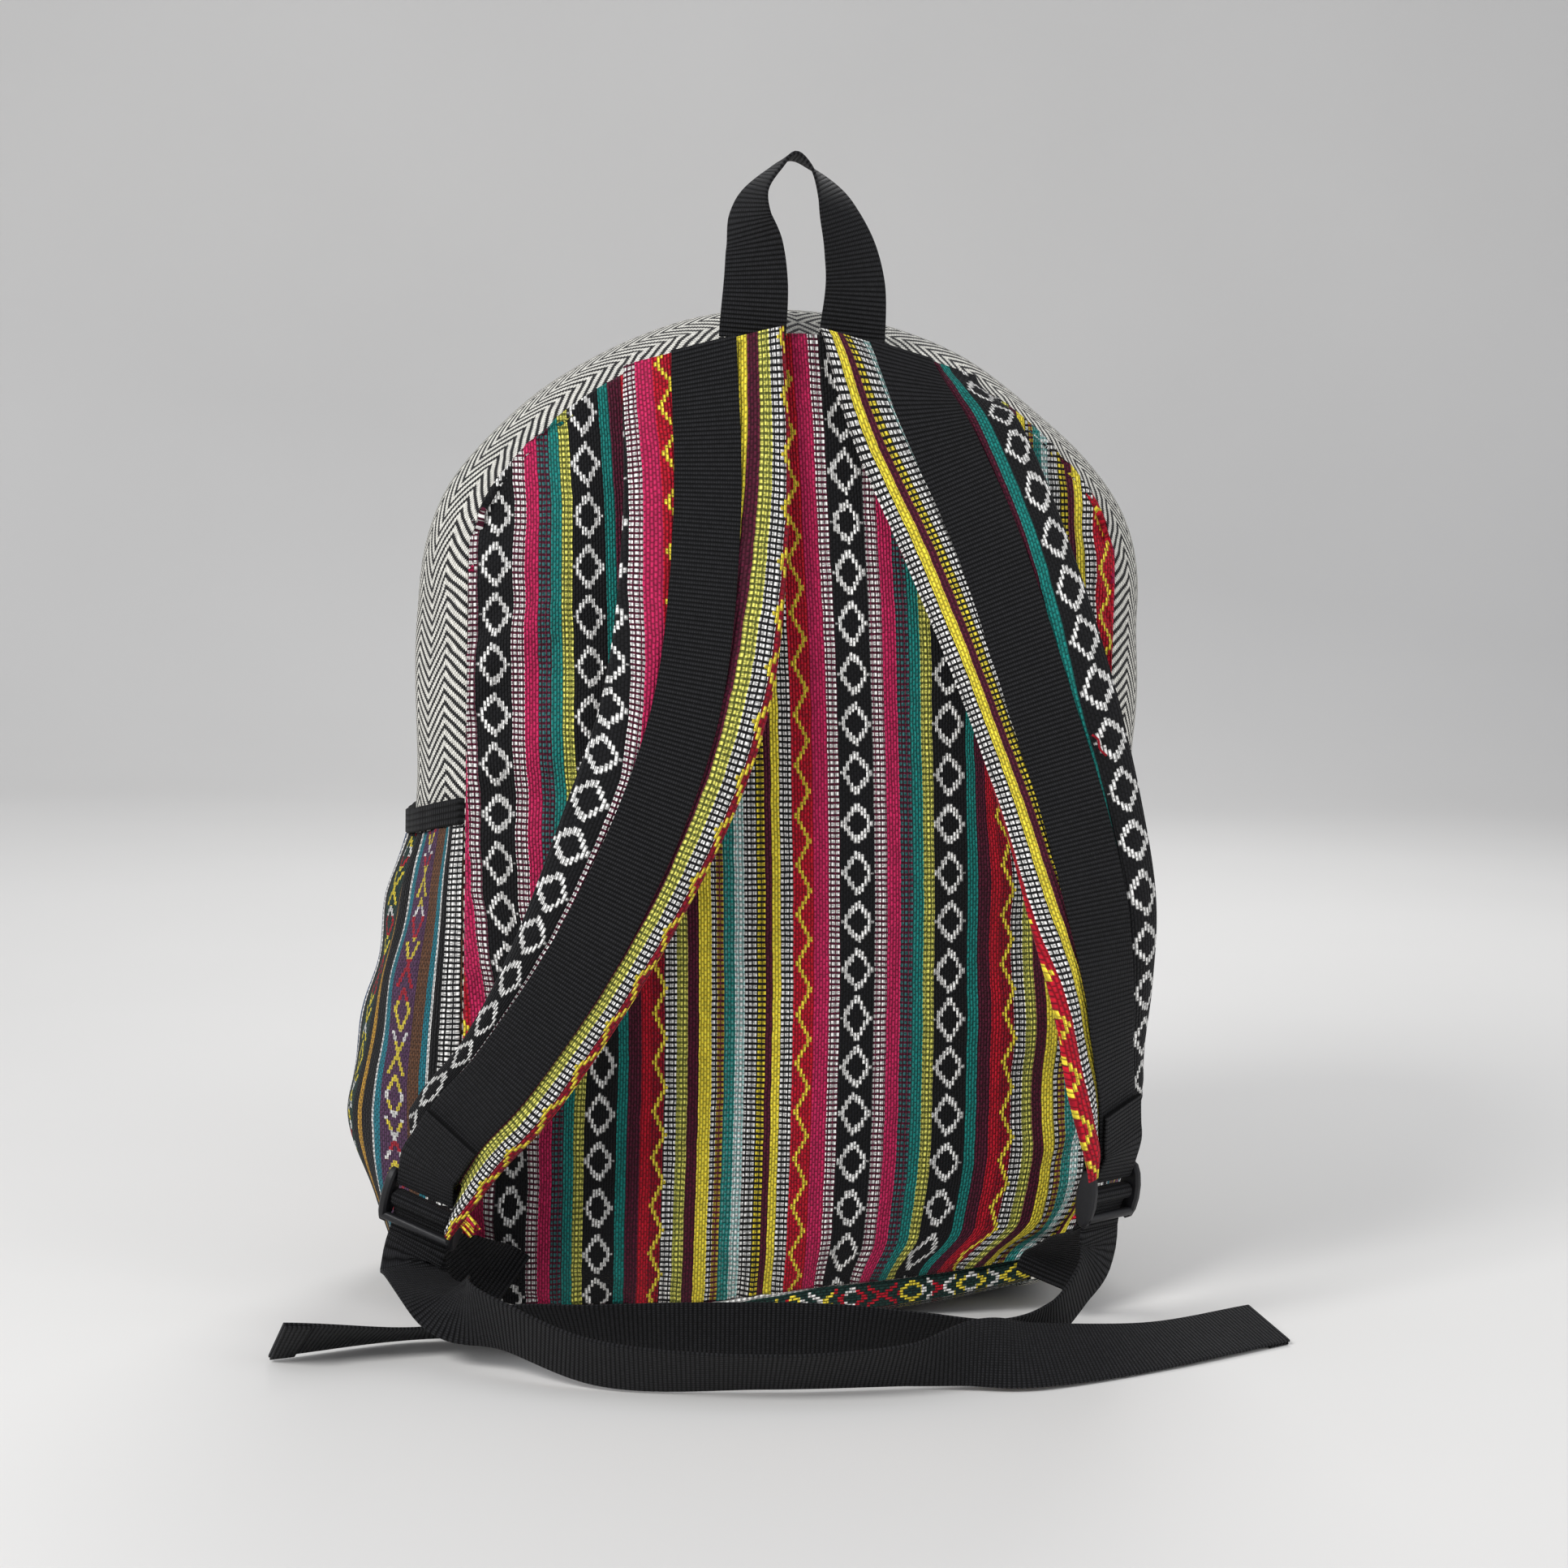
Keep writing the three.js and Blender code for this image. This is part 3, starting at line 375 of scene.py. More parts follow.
def effect(name, inputs, outputs, build):
    """A node group. build gets a Field for each input and returns one for each output."""
    tree = bpy.data.node_groups.new(name, "ShaderNodeTree")
    for label in inputs:
        tree.interface.new_socket(label, in_out="INPUT", socket_type="NodeSocketFloat")
    for label in outputs:
        tree.interface.new_socket(label, in_out="OUTPUT", socket_type="NodeSocketFloat")
    start, end = tree.nodes.new("NodeGroupInput"), tree.nodes.new("NodeGroupOutput")
    fields = [Field(tree, start.outputs[label]) for label in inputs]
    for label, field in zip(outputs, build(*fields)):
        join(tree, field, end.inputs[label])
    return tree


def use(group, tree, *items):
    """Places a node group in a material and returns a Field for each of its outputs."""
    node = tree.nodes.new("ShaderNodeGroup")
    node.node_tree = group
    for socket, item in zip(node.inputs, items):
        join(tree, item, socket)
    found = [Field(tree, socket) for socket in node.outputs]
    return found[0] if len(found) == 1 else found


def scatter(field, other=None):
    """A random share for each whole number, or pair of them."""
    node = field.tree.nodes.new("ShaderNodeTexWhiteNoise")
    node.noise_dimensions = "1D" if other is None else "2D"
    if other is None:
        join(field.tree, field, node.inputs["W"])
        return Field(field.tree, node.outputs["Value"])
    pair = field.tree.nodes.new("ShaderNodeCombineXYZ")
    join(field.tree, field, pair.inputs[0])
    join(field.tree, other, pair.inputs[1])
    field.tree.links.new(pair.outputs[0], node.inputs["Vector"])
    return Field(field.tree, node.outputs["Value"])


def cloudy(tree, source, scale, detail=2.0):
    node = tree.nodes.new("ShaderNodeTexNoise")
    node.inputs["Scale"].default_value = scale
    node.inputs["Detail"].default_value = detail
    tree.links.new(source, node.inputs["Vector"])
    return Field(tree, node.outputs["Fac"])


class Finish:
    """A material with its Principled shader, and the threads and places that patterns read."""

    def __init__(self, name, **constants):
        self.material = bpy.data.materials.new(name)
        self.material.use_nodes = True
        self.tree = self.material.node_tree
        self.shader = self.tree.nodes["Principled BSDF"]
        for label, item in constants.items():
            self.shader.inputs[label.replace("_", " ")].default_value = item
        uv = self.tree.nodes.new("ShaderNodeUVMap")
        uv.uv_map = "threads"
        split = self.tree.nodes.new("ShaderNodeSeparateXYZ")
        self.tree.links.new(uv.outputs[0], split.inputs[0])
        self.across, self.along = (Field(self.tree, split.outputs[i]) for i in (0, 1))
        self.place = self.tree.nodes.new("ShaderNodeTexCoord").outputs["Object"]

    def set(self, label, item):
        join(self.tree, item, self.shader.inputs[label])

    def bump(self, height, distance, strength=1.0):
        node = self.tree.nodes.new("ShaderNodeBump")
        node.inputs["Distance"].default_value = distance
        node.inputs["Strength"].default_value = strength
        join(self.tree, height, node.inputs["Height"])
        self.tree.links.new(node.outputs[0], self.shader.inputs["Normal"])

    def cloud(self, scale, detail=2.0):
        return cloudy(self.tree, self.place, scale, detail)


# %% [markdown]
# The cloth is warp-faced: short grains of thread lie side by side, and each row is half a grain
# ahead of its neighbour. One group makes these grains for every woven finish. It puts out their
# height, which is round across and flat along, and a random tone for each grain.

# %% The grain of a woven cloth
def grain_rows(across, along, thread, pick, offset):
    column = across / thread
    row = column.floor()
    middle = column.fract() * 2 - 1
    run = along / pick + (row * offset).fract() + scatter(row) * offset * 0.32
    end = run.fract() * 2 - 1
    height = (1 - middle * middle) * (1 - (end * end) ** 2)
    return height, scatter(row, run.floor())


GRAIN = effect(
    "Woven grain", ["Across", "Along", "Thread", "Pick", "Offset"], ["Height", "Tone"],
    grain_rows,
)
print("node group", GRAIN.name, "with", len(GRAIN.nodes), "nodes")

# %% [markdown]
# Webbing is woven much tighter than the cotton: fine ribs run across it, and the threads of each
# rib show as tiny grains. It is dyed black; its look comes from the bump, from a sheen that catches
# the light where it bends, and from painted light: each rib's crest is painted lighter as a
# highlight and each groove darker as shade.

# %% Webbing finish
# tint is the colour of a rib's crest and carries the painted highlight; the grooves are painted
# almost black as shade
def black_webbing(name, thread, pick, tint):
    finish = Finish(name, Sheen_Weight=0.02, Sheen_Roughness=0.4, Specular_IOR_Level=0.2)
    grain, tone = use(GRAIN, finish.tree, finish.across, finish.along, thread, pick, 0.0)
    turn = (finish.along / pick).fract() * 2 - 1
    height = (1 - turn * turn) * 0.7 + grain * 0.3
    worn = finish.cloud(38.0, 3.0).ramp(0.42, 0.75)
    # painted highlight on each rib's crest and painted shade in its groove, with a random tone for
    # each grain and real worn patches
    painted_highlight_and_tone = height ** 1.6 * (tone * 0.5 + 0.75) + worn * 0.08
    finish.set("Base Color", mixed(painted_highlight_and_tone, (0.0008, 0.0008, 0.001, 1), tint))
    finish.set("Roughness", 0.85 - height * 0.25)
    finish.bump(height + worn * 0.3, 0.0011)
    return finish.material


webbing_finish = black_webbing("black webbing", 0.0011, 0.0020, (0.016, 0.016, 0.018, 1))
elastic_finish = black_webbing("black elastic", 0.0016, 0.0030, (0.006, 0.006, 0.007, 1))

# %% [markdown]
# The two loose tails are the bag's cords: flat webbing 30 mm wide that leaves the lip of its
# buckle, drops to the floor and lies there on its edge. Their routes follow the CAD source, and
# their loose ends lean a little further over. Each ends in a hem: the webbing folded over once and
# sewn down. A station on the floor has its place in mm and its lean from upright in degrees.

# %% Loose webbing tails
FLOOR_CLEARANCE, TAIL_TWIST = 1.6 * MM, 0.090
TAIL_OUT = LIP_BAR[1] - BAR_R - (GAP + 1.4 * WEBBING_THICKNESS) / MM
TAIL_DROP = {"left": [(-154, -134, 28), (-130, -162, 26)], "right": [(134, -122, 31)]}
TAIL_FLOOR = {
    "left": [
        (-88, -182, 34), (-16, -191, 44), (46, -186, 36), (76, -179, 0),
        (104, -170, -42), (166, -138, -70), (226, -104, -74),
    ],
    "right": [
        (116, -134, 30), (90, -143, 44), (54, -149, 30), (10, -152, 8),
        (-44, -150, 8), (-92, -141, 26), (-130, -122, 46), (-166, -121, 64), (-226, -142, 46),
    ],
}
HEM_LENGTH, HEM_INSET, HEM_THICKNESS, HEM_LIFT = 0.012, 0.0004, 0.0012, 0.95 * WEBBING_THICKNESS


def tail_route(name):
    buckle, side = buckles[name], SIDES[name]
    points = [
        buckle.at(TAIL_START + GAP / MM, TAIL_OUT),
        buckle.at(TAIL_START + TAIL_STRAIGHT, TAIL_OUT + GAP / MM),
        *[Vector(station) * MM for station in TAIL_DROP[name]],
    ]
    leans = []
    for x, y, lean in TAIL_FLOOR[name]:
        tilt = math.radians(lean)
        height = (WEBBING_WIDTH * math.cos(tilt) + WEBBING_THICKNESS) / 2 + FLOOR_CLEARANCE
        points.append(Vector((x * MM, y * MM, height)))
        leans.append(Vector((0, -math.sin(tilt), math.cos(tilt))) * -side)
    steps = len(TAIL_DROP[name]) + 1
    turning = [
        buckle.across.lerp(leans[0], (i + 1) / steps).normalized() for i in range(steps - 1)
    ]
    return Route(points, [buckle.across, buckle.across, *turning, *leans])


for name in SIDES:
    route = tail_route(name)
    distances = spread(0, TAIL_TWIST, 40) + spread(TAIL_TWIST, route.length, 110)[1:]
    tail = piece(
        f"{name}_tail", webbing(route, distances), webbing_finish,
        [f"{name}_webbing_tail"], body=None,
    )
    hem_steps = spread(route.length - HEM_LENGTH, route.length - HEM_INSET, 8)
    hem = piece(
        f"{name}_tail_hem",
        webbing(route, hem_steps, lambda distance: SIDES[name] * HEM_LIFT, HEM_THICKNESS),
        webbing_finish,
    )
    path = [route.place(distance, 0, 0) for distance in distances]
    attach(tail, "bag")
    tuple(path[0])
    print(name, "tail", round(route.length, 3), "m")

# %% [markdown]
# The outline of the bag is a seam that runs round the back panel. Its points and outward directions
# are kept as rows of numbers, from the left base corner over the arch to the right base corner, so
# that the gusset, the zip and the pockets can all be set out from the same seam.

# %% The seam round the bag
SIDE_BULGE, TOP_BULGE, SEAM_Y = 0.025, 0.011, 0.0703


def arc(centre, radius, start, end, steps):
    angles = np.linspace(start, end, steps)
    normals = np.stack([np.cos(angles), np.sin(angles)], axis=1)
    return np.hstack([normals * radius + centre, normals])


half_outline = np.vstack([
    arc((PANEL_HALF - BASE_R, CORNER_TOP), BASE_R, -math.pi / 2, 0, 13),
    arc((CORNER_X, SPRING), ARCH_R, 0, CROWN_START, 13),
    arc((0, CROWN_Z), CROWN_R, CROWN_START, math.pi / 2, 25),
])
outline = np.vstack([half_outline * (-1, 1, -1, 1), half_outline[-2::-1]])
seam_steps = np.linalg.norm(np.diff(outline[:, :2], axis=0), axis=1)
seam_distances = np.concatenate([[0.0], np.cumsum(seam_steps)])
SEAM_LENGTH = seam_distances[-1]
CORNER_RUN = BASE_R * math.pi / 2
SPRING_RUN = CORNER_RUN + SPRING - CORNER_TOP


def seam(distance):
    return [np.interp(distance, seam_distances, column) for column in outline.T]


def bulge(y):
    return 1 - (y / HALF_DEPTH) ** 2


def gusset(distance, y, height=0.0):
    """A point of the gusset: how far round the seam, how far across the bag, and a height on it."""
    x, z, out_x, out_z = seam(distance)
    fade = smooth(z, PANEL_BOTTOM, PANEL_BOTTOM + 3 * BASE_R)
    sag = min(max((z - CORNER_TOP) / (SPRING - CORNER_TOP), 0.0), 1.0)
    rise = SIDE_BULGE * bulge(y) * fade + height
    drop = (SIDE_BULGE - TOP_BULGE) * bulge(y) * sag
    return Vector((x + out_x * rise, y, z + out_z * rise - drop))


print("seam", round(SEAM_LENGTH, 3), "m round")

# %% [markdown]
# A sheet of cloth starts as a grid. A function gives the place of each point from its two shares,
# and another gives its threads. Cloth is thin, so a Solidify modifier makes its thickness, inwards.

# %% Sheets
def cloth(columns, rows, place, threads, outward):
    """A grid of faces mapped on a surface; outward is a direction that its faces should look."""
    bm = bmesh.new()
    bmesh.ops.create_grid(bm, x_segments=columns, y_segments=rows, size=0.5)
    uv = bm.loops.layers.uv.new("threads")
    shares = {v: (v.co.x + 0.5, v.co.y + 0.5) for v in bm.verts}
    for face in bm.faces:
        for loop in face.loops:
            loop[uv].uv = threads(*shares[loop.vert])
    for vert, (a, b) in shares.items():
        vert.co = place(a, b)
    bm.normal_update()
    lean = sum((face.normal * face.calc_area() for face in bm.faces), Vector())
    if lean.dot(Vector(outward)) < 0:
        bmesh.ops.reverse_faces(bm, faces=bm.faces)
    return bm


def thicken(obj, thickness):
    solid = obj.modifiers.new("thickness", "SOLIDIFY")
    solid.thickness, solid.offset = thickness, -1.0


def ripple(point, size, amount):
    return noise.noise(Vector(point) / size) * amount


# %% [markdown]
# ## The striped cotton
# The cloth repeats every 161 mm or so: bands of plain warp, bands of little dashes where the weft
# shows, two black bands with white diamonds and two red ones with a yellow zigzag. Node groups draw
# the diamonds, the zigzags, the chains of crosses and rings and the dashes. Each motif is drawn
# thread by thread, as the loom floats them.

# %% Pattern groups
DIAMOND_THREAD, LINE_THREAD = 0.0015, 0.0013


def strands(across, width):
    """The number and the middle of the thread at a place, and how far that thread shows."""
    number = (across / width).floor()
    side = (across / width).fract() * 2 - 1
    return number, (number + 0.5) * width, (1 - side * side).ramp(0.08, 0.45)


def diamond_row(across, along, pitch, half_width, half_height):
    number, middle, shows = strands(across, DIAMOND_THREAD)
    uneven = (scatter(number, (along / pitch).floor()) - 0.5) * 0.0016
    end = abs(abs((along / pitch).fract() - 0.5) * pitch + uneven)
    size = (abs(middle) / half_width) ** 1.2 + (end / half_height) ** 1.2
    return (size.ramp(0.56, 0.62) * (1 - size.ramp(0.96, 1.04)) * shows,)


def floats(off, line, shows):
    """Threads that float near a line; off is their distance from it."""
    return ((1 - off.ramp(line * 0.8, line * 1.1)) * shows,)


def zigzag_line(across, along, period, swing, line):
    _, middle, shows = strands(across, LINE_THREAD)
    wave = abs((along / period).fract() - 0.5) * 4 - 1
    return floats(abs(middle - wave * swing), line, shows)


def cross_chain(across, along, period, swing, line):
    _, middle, shows = strands(across, LINE_THREAD)
    turn = (along / period).fract()
    ring, cross = 1 - abs(turn * 4 - 1), abs(turn * 4 - 3)
    wave = ring + (cross - ring) * (turn > 0.5)
    return floats(abs(abs(middle) - wave * swing), line, shows)


def dash_rows(across, along, column, pick):
    run = abs((along / pick).fract() - 0.5) * 2
    side = abs((across / column).fract() - 0.5) * 2
    return ((1 - run.ramp(0.5, 0.66)) * (1 - side.ramp(0.64, 0.84)),)


DIAMONDS, ZIGZAG, CROSSES, DASHES = (
    effect(name, ["Across", "Along", *sizes], ["Mask"], build)
    for name, sizes, build in (
        ("Diamond row", ["Pitch", "Half Width", "Half Height"], diamond_row),
        ("Zigzag line", ["Period", "Swing", "Line"], zigzag_line),
        ("Crosses and rings", ["Period", "Swing", "Line"], cross_chain),
        ("Dash rows", ["Column", "Pick"], dash_rows),
    )
)

# %% [markdown]
# A banded cloth is written down as two lists, one of bands and one of motifs. Three colour ramps
# with hard steps hold the warp colour, the dash colour and the amount of dashes of each band, and
# the motifs are laid over them. Clouds of noise make the rows a little uneven.

# %% Cloth with bands
BLACK, WHITE = (0.006, 0.006, 0.007), (0.86, 0.85, 0.82)
MAROON, RED, MAGENTA = (0.085, 0.007, 0.024), (0.48, 0.006, 0.020), (0.52, 0.018, 0.095)
TEAL, PALE_TEAL, DULL_TEAL = (0.008, 0.20, 0.175), (0.26, 0.46, 0.44), (0.03, 0.15, 0.15)
YELLOW, OLIVE, DARK_RED = (0.88, 0.70, 0.050), (0.52, 0.54, 0.070), (0.30, 0.004, 0.015)
DARK_OLIVE, LIME = (0.16, 0.17, 0.03), (0.80, 0.76, 0.15)
COTTON_THREAD, COTTON_PICK, DASH_COLUMN, DASH_PICK = 0.00135, 0.0029, 0.0021, 0.0027
COLOUR_RUN = 0.0052


def band_ramp(tree, source, bands, choose):
    """A colour ramp with a hard step at the edge of each band."""
    node = tree.nodes.new("ShaderNodeValToRGB")
    node.color_ramp.interpolation = "CONSTANT"
    total, start = sum(band[0] for band in bands), 0.0
    steps = node.color_ramp.elements
    while len(steps) > 1:
        steps.remove(steps[-1])
    for number, band in enumerate(bands):
        step = steps[0] if number == 0 else steps.new(start / total)
        step.position = start / total
        step.color = (*choose(band), 1)
        start += band[0]
    tree.links.new(source.socket, node.inputs[0])
    return Field(tree, node.outputs[0])


def motif_colour(along, colours):
    """One colour, or a list of three that change at random along the row."""
    if not isinstance(colours, list):
        return (*colours, 1)
    pick = scatter((along / COLOUR_RUN).floor())
    first = mixed(pick > 0.45, (*colours[0], 1), (*colours[1], 1))
    return mixed(pick > 0.75, first, (*colours[2], 1))


def banded_cloth(name, bands, motifs):
    """bands are (width in mm, warp, dash colour, dash share); motifs are (group, centre in mm,
    colour, sizes)."""
    finish = Finish(name, Sheen_Weight=0.06, Sheen_Roughness=0.5, Specular_IOR_Level=0.2)
    tree = finish.tree
    repeat = sum(band[0] for band in bands) * MM
    uneven = (finish.cloud(9.0) - 0.5) * 0.0022 + (finish.cloud(120.0) - 0.5) * 0.0009
    across = finish.across + uneven
    along = finish.along + (finish.cloud(30.0) - 0.5) * 0.0030
    share = (across / repeat).fract()
    warp = band_ramp(tree, share, bands, lambda band: band[1])
    weft = band_ramp(tree, share, bands, lambda band: band[2])
    amount = band_ramp(tree, share, bands, lambda band: (band[3],) * 3)
    height, tone = use(GRAIN, tree, across, along, COTTON_THREAD, COTTON_PICK, 0.5)
    dashes = use(DASHES, tree, across, along, DASH_COLUMN, DASH_PICK) * amount
    colour = mixed(dashes, warp, weft)
    raised = dashes * 0.3
    for kind, centre, colour_of, *sizes in motifs:
        from_centre = ((share - centre * MM / repeat + 0.5).fract() - 0.5) * repeat
        mask = use(kind, tree, from_centre, along, *sizes)
        colour = mixed(mask, colour, motif_colour(along, colour_of))
        raised = raised + mask * 0.9
    # painted shade in the gaps between threads, where the grain is low, with a random tone for each
    # grain and a slow mottling of the dye
    painted_gap_shade_and_tone = (height * 0.8 + 0.44) * (tone * 0.35 + 0.82) * (finish.cloud(14.0) * 0.3 + 0.88)
    finish.set("Base Color", mixed(1.0, colour, grey(painted_gap_shade_and_tone), "MULTIPLY"))
    finish.set("Roughness", 0.92 - height * 0.12)
    finish.bump(height + raised, 0.0007, 0.9)
    return finish.material


STRIPES = [
    (15.6, BLACK, BLACK, 0), (5.6, MAROON, WHITE, 1), (6.0, MAGENTA, MAROON, 0.25),
    (6.2, MAROON, DULL_TEAL, 0.9), (5.0, TEAL, MAROON, 0.15), (4.8, DARK_OLIVE, LIME, 1),
    (15.6, BLACK, BLACK, 0), (5.2, TEAL, BLACK, 0.2), (6.4, MAROON, BLACK, 0.35),
    (5.0, RED, MAROON, 0.2), (5.6, DARK_RED, MAROON, 0.4), (5.6, BLACK, WHITE, 1),
    (5.0, DARK_OLIVE, LIME, 1), (5.2, MAROON, BLACK, 0.3), (5.4, YELLOW, OLIVE, 0.3),
    (3.0, BLACK, WHITE, 0.9), (3.0, MAROON, YELLOW, 0.5), (4.8, TEAL, PALE_TEAL, 0.35),
    (4.4, PALE_TEAL, WHITE, 0.9), (5.6, BLACK, WHITE, 0.95), (4.0, BLACK, YELLOW, 0.9),
    (3.2, MAROON, BLACK, 0.2), (4.0, YELLOW, OLIVE, 0.3), (5.4, BLACK, WHITE, 1),
    (9.8, RED, MAROON, 0.3), (6.6, MAGENTA, MAROON, 0.2), (5.4, MAROON, WHITE, 1),
]
FIRST_DIAMOND = 7.8
STRIPE_MOTIFS = [
    (DIAMONDS, FIRST_DIAMOND, WHITE, 0.0225, 0.0070, 0.0101),
    (DIAMONDS, 51.0, WHITE, 0.0225, 0.0070, 0.0101),
    (ZIGZAG, 79.4, YELLOW, 0.0228, 0.0026, 0.0011),
    (ZIGZAG, 144.8, YELLOW, 0.0228, 0.0029, 0.0010),
]
striped_finish = banded_cloth("striped cotton", STRIPES, STRIPE_MOTIFS)
print("striped cotton repeats every", round(sum(band[0] for band in STRIPES), 1), "mm")

# %% [markdown]
# Padded cloth is blown up a little by a cloth simulation: its sewn rim is pinned, air presses from
# inside, and a cap keeps every point near the shape it started from. It runs on the grid itself, so
# the threads stay where they are.

# %% Simulation of padded cloth
def inflate(obj, sewn, pressure, cap, slack=0.02, frames=14):
    """sewn is the set of vertices held by a seam; cap is the furthest a point may move."""
    before = [v.co.copy() for v in obj.data.vertices]
    held = obj.vertex_groups.new(name="sewn")
    held.add(sorted(sewn), 1.0, "REPLACE")
    air = obj.modifiers.new("air", "CLOTH")
    air.settings.quality = 5
    air.settings.mass = 0.3
    air.settings.tension_stiffness = air.settings.compression_stiffness = 25
    air.settings.bending_stiffness = 2.0
    air.settings.use_pressure = True
    air.settings.uniform_pressure_force = pressure
    air.settings.shrink_min = -slack
    air.settings.vertex_group_mass = "sewn"
    air.settings.effector_weights.gravity = 0
    air.point_cache.frame_start, air.point_cache.frame_end = 1, frames
    for number in range(1, frames + 1):
        scene.frame_set(number)
    blown = obj.evaluated_get(bpy.context.evaluated_depsgraph_get()).data
    after = [v.co.copy() for v in blown.vertices]
    obj.modifiers.remove(air)
    obj.vertex_groups.remove(held)
    furthest = 0.0
    for vert, old, new in zip(obj.data.vertices, before, after):
        move = new - old
        if move.length > cap:
            move *= cap / move.length
        furthest = max(furthest, move.length)
        vert.co = old + move
    scene.frame_set(1)
    print(obj.name, "simulated, moved by up to", round(furthest / MM, 1), "mm")


# %% [markdown]
# The back panel is a padded arch of striped cotton. Its columns run along the stripes, from the
# base seam to the arch seam, and lie closer together near the sides, where the arch turns. It is
# fullest in the middle and falls to the sewn rim.

# %% Back and front panels
PANEL_MIDDLE = (PANEL_TOP + PANEL_BOTTOM) / 2
SPOKES, PANEL_COLUMNS, PANEL_ROWS = 600, 64, 96
PANEL_PRESSURE, PANEL_MOVE, PANEL_THICKNESS = 3.0, 0.003, 0.004
CLIMB_START, CLIMB_END = 0.009, 0.018  # rise of the base seam near the middle and at the corner
spokes = np.array([seam(d)[:2] for d in np.linspace(0, SEAM_LENGTH, SPOKES)]) - (0, PANEL_MIDDLE)
spoke_angles = np.arctan2(spokes[:, 0], spokes[:, 1])
spoke_lengths = np.linalg.norm(spokes, axis=1)


def arch_top(x):
    x = abs(x)
    if x <= CROWN_R * math.cos(CROWN_START):
        return CROWN_Z + math.sqrt(CROWN_R**2 - x**2)
    return SPRING + math.sqrt(max(0.0, ARCH_R**2 - (x - CORNER_X) ** 2))


def base_line(x):
    inside = max(0.0, abs(x) - (PANEL_HALF - BASE_R))
    return CORNER_TOP - math.sqrt(max(0.0, BASE_R**2 - inside**2))


def seam_line(x):
    """The base seam as it was sewn: it climbs towards the right corner."""
    climb = CLIMB_START * smooth(x, -0.05, 0.03) + CLIMB_END * (max(x, 0.0) / 0.133) ** 1.6
    return base_line(x) + climb


def fullness(x, z):
    """1 in the middle of a panel and 0 at its seam."""
    angle = math.atan2(x, z - PANEL_MIDDLE)
    reach = np.interp(angle, spoke_angles, spoke_lengths)
    if abs(angle) > spoke_angles[-1]:
        reach = (PANEL_BOTTOM - PANEL_MIDDLE) / math.cos(angle)
    share = min(1.0, math.hypot(x, z - PANEL_MIDDLE) / reach)
    return (1 - share**2.4) ** 0.75


def eased(share, uniform=0.35):
    """Shares from 0 to 1 that lie closer together at both ends."""
    return uniform * share + (1 - uniform) * (1 - math.cos(math.pi * share)) / 2


def panel_spot(a, b):
    """A point of a panel, seen flat, and the height of the base seam below it."""
    x = PANEL_HALF * (2 * eased(a) - 1)
    low = seam_line(x)
    return x, between(low, arch_top(x), eased(b)), low


def panel_place(facing, crown):
    def place(a, b):
        x, z, _ = panel_spot(a, b)
        full = fullness(x, z)
        pucker = ripple((x, z, facing), 0.035, 0.0016) * full**0.5
        return Vector((x, facing * (SEAM_Y + crown * full + pucker), z))
    return place


# how far the stripes of the back were drawn in along the left seam, at four heights
SQUEEZE_Z, SQUEEZE = (0.14, 0.20, 0.29, 0.38), (0.005, -0.001, -0.001, 0.007)
STRIPE_BOW, HIDDEN_BY_SEAM, PULLED_BY_BASE = 0.0060, 0.018, (0.007, 0.020)
FRONT_SHIFT = 0.040


def panel_threads(shift, skew, facing_back):
    def threads(a, b):
        x, z, low = panel_spot(a, b)
        bow = STRIPE_BOW * math.sin(math.pi * min(1.0, (PANEL_TOP - z) / 0.47))
        squeeze = np.interp(z, SQUEEZE_Z, SQUEEZE) * smooth(-x, 0.05, 0.14)
        hidden = HIDDEN_BY_SEAM * smooth(x, 0.075, 0.120) * smooth(z, 0.20, 0.28)
        wide, narrow = (1 - smooth(z - low, 0, reach) for reach in (0.06, 0.022))
        pulled = smooth(x, 0.0, 0.11) * (PULLED_BY_BASE[0] * wide + PULLED_BY_BASE[1] * narrow)
        moved = facing_back * (bow + squeeze - hidden - pulled)
        return x - shift - skew * (PANEL_TOP - z) - moved + FIRST_DIAMOND * MM, z
    return threads


def on_rim(mesh):
    """The numbers of the vertices on open edges."""
    edges = {}
    for face in mesh.polygons:
        for key in face.edge_keys:
            edges[key] = edges.get(key, 0) + 1
    return {i for key, count in edges.items() if count == 1 for i in key}


for name, facing, crown, shift, skew in (
    ("back", -1, 0.0175, 0.0150, 0.035), ("front", 1, 0.0195, FRONT_SHIFT, 0.0)
):
    panel = piece(
        f"{name}_cushion",
        cloth(PANEL_COLUMNS, PANEL_ROWS, panel_place(facing, crown),
              panel_threads(shift, skew, facing < 0), (0, facing, 0)),
        striped_finish, [f"{name}_panel"],
    )
    inflate(panel, on_rim(panel.data), PANEL_PRESSURE, PANEL_MOVE)
    thicken(panel, PANEL_THICKNESS)

# %% [markdown]
# ## The herringbone gusset
# Herringbone is a twill that turns back every few threads: dark and light lines climb to the right
# in one column and to the left in the next. The finish draws the lines with a folded slope and
# steps them thread by thread, as a loom does.

# %% Herringbone finish
HERRING_THREAD, HERRING_REPEAT, HERRING_PITCH, HERRING_SLOPE = 0.0013, 0.036, 0.0054, 0.80


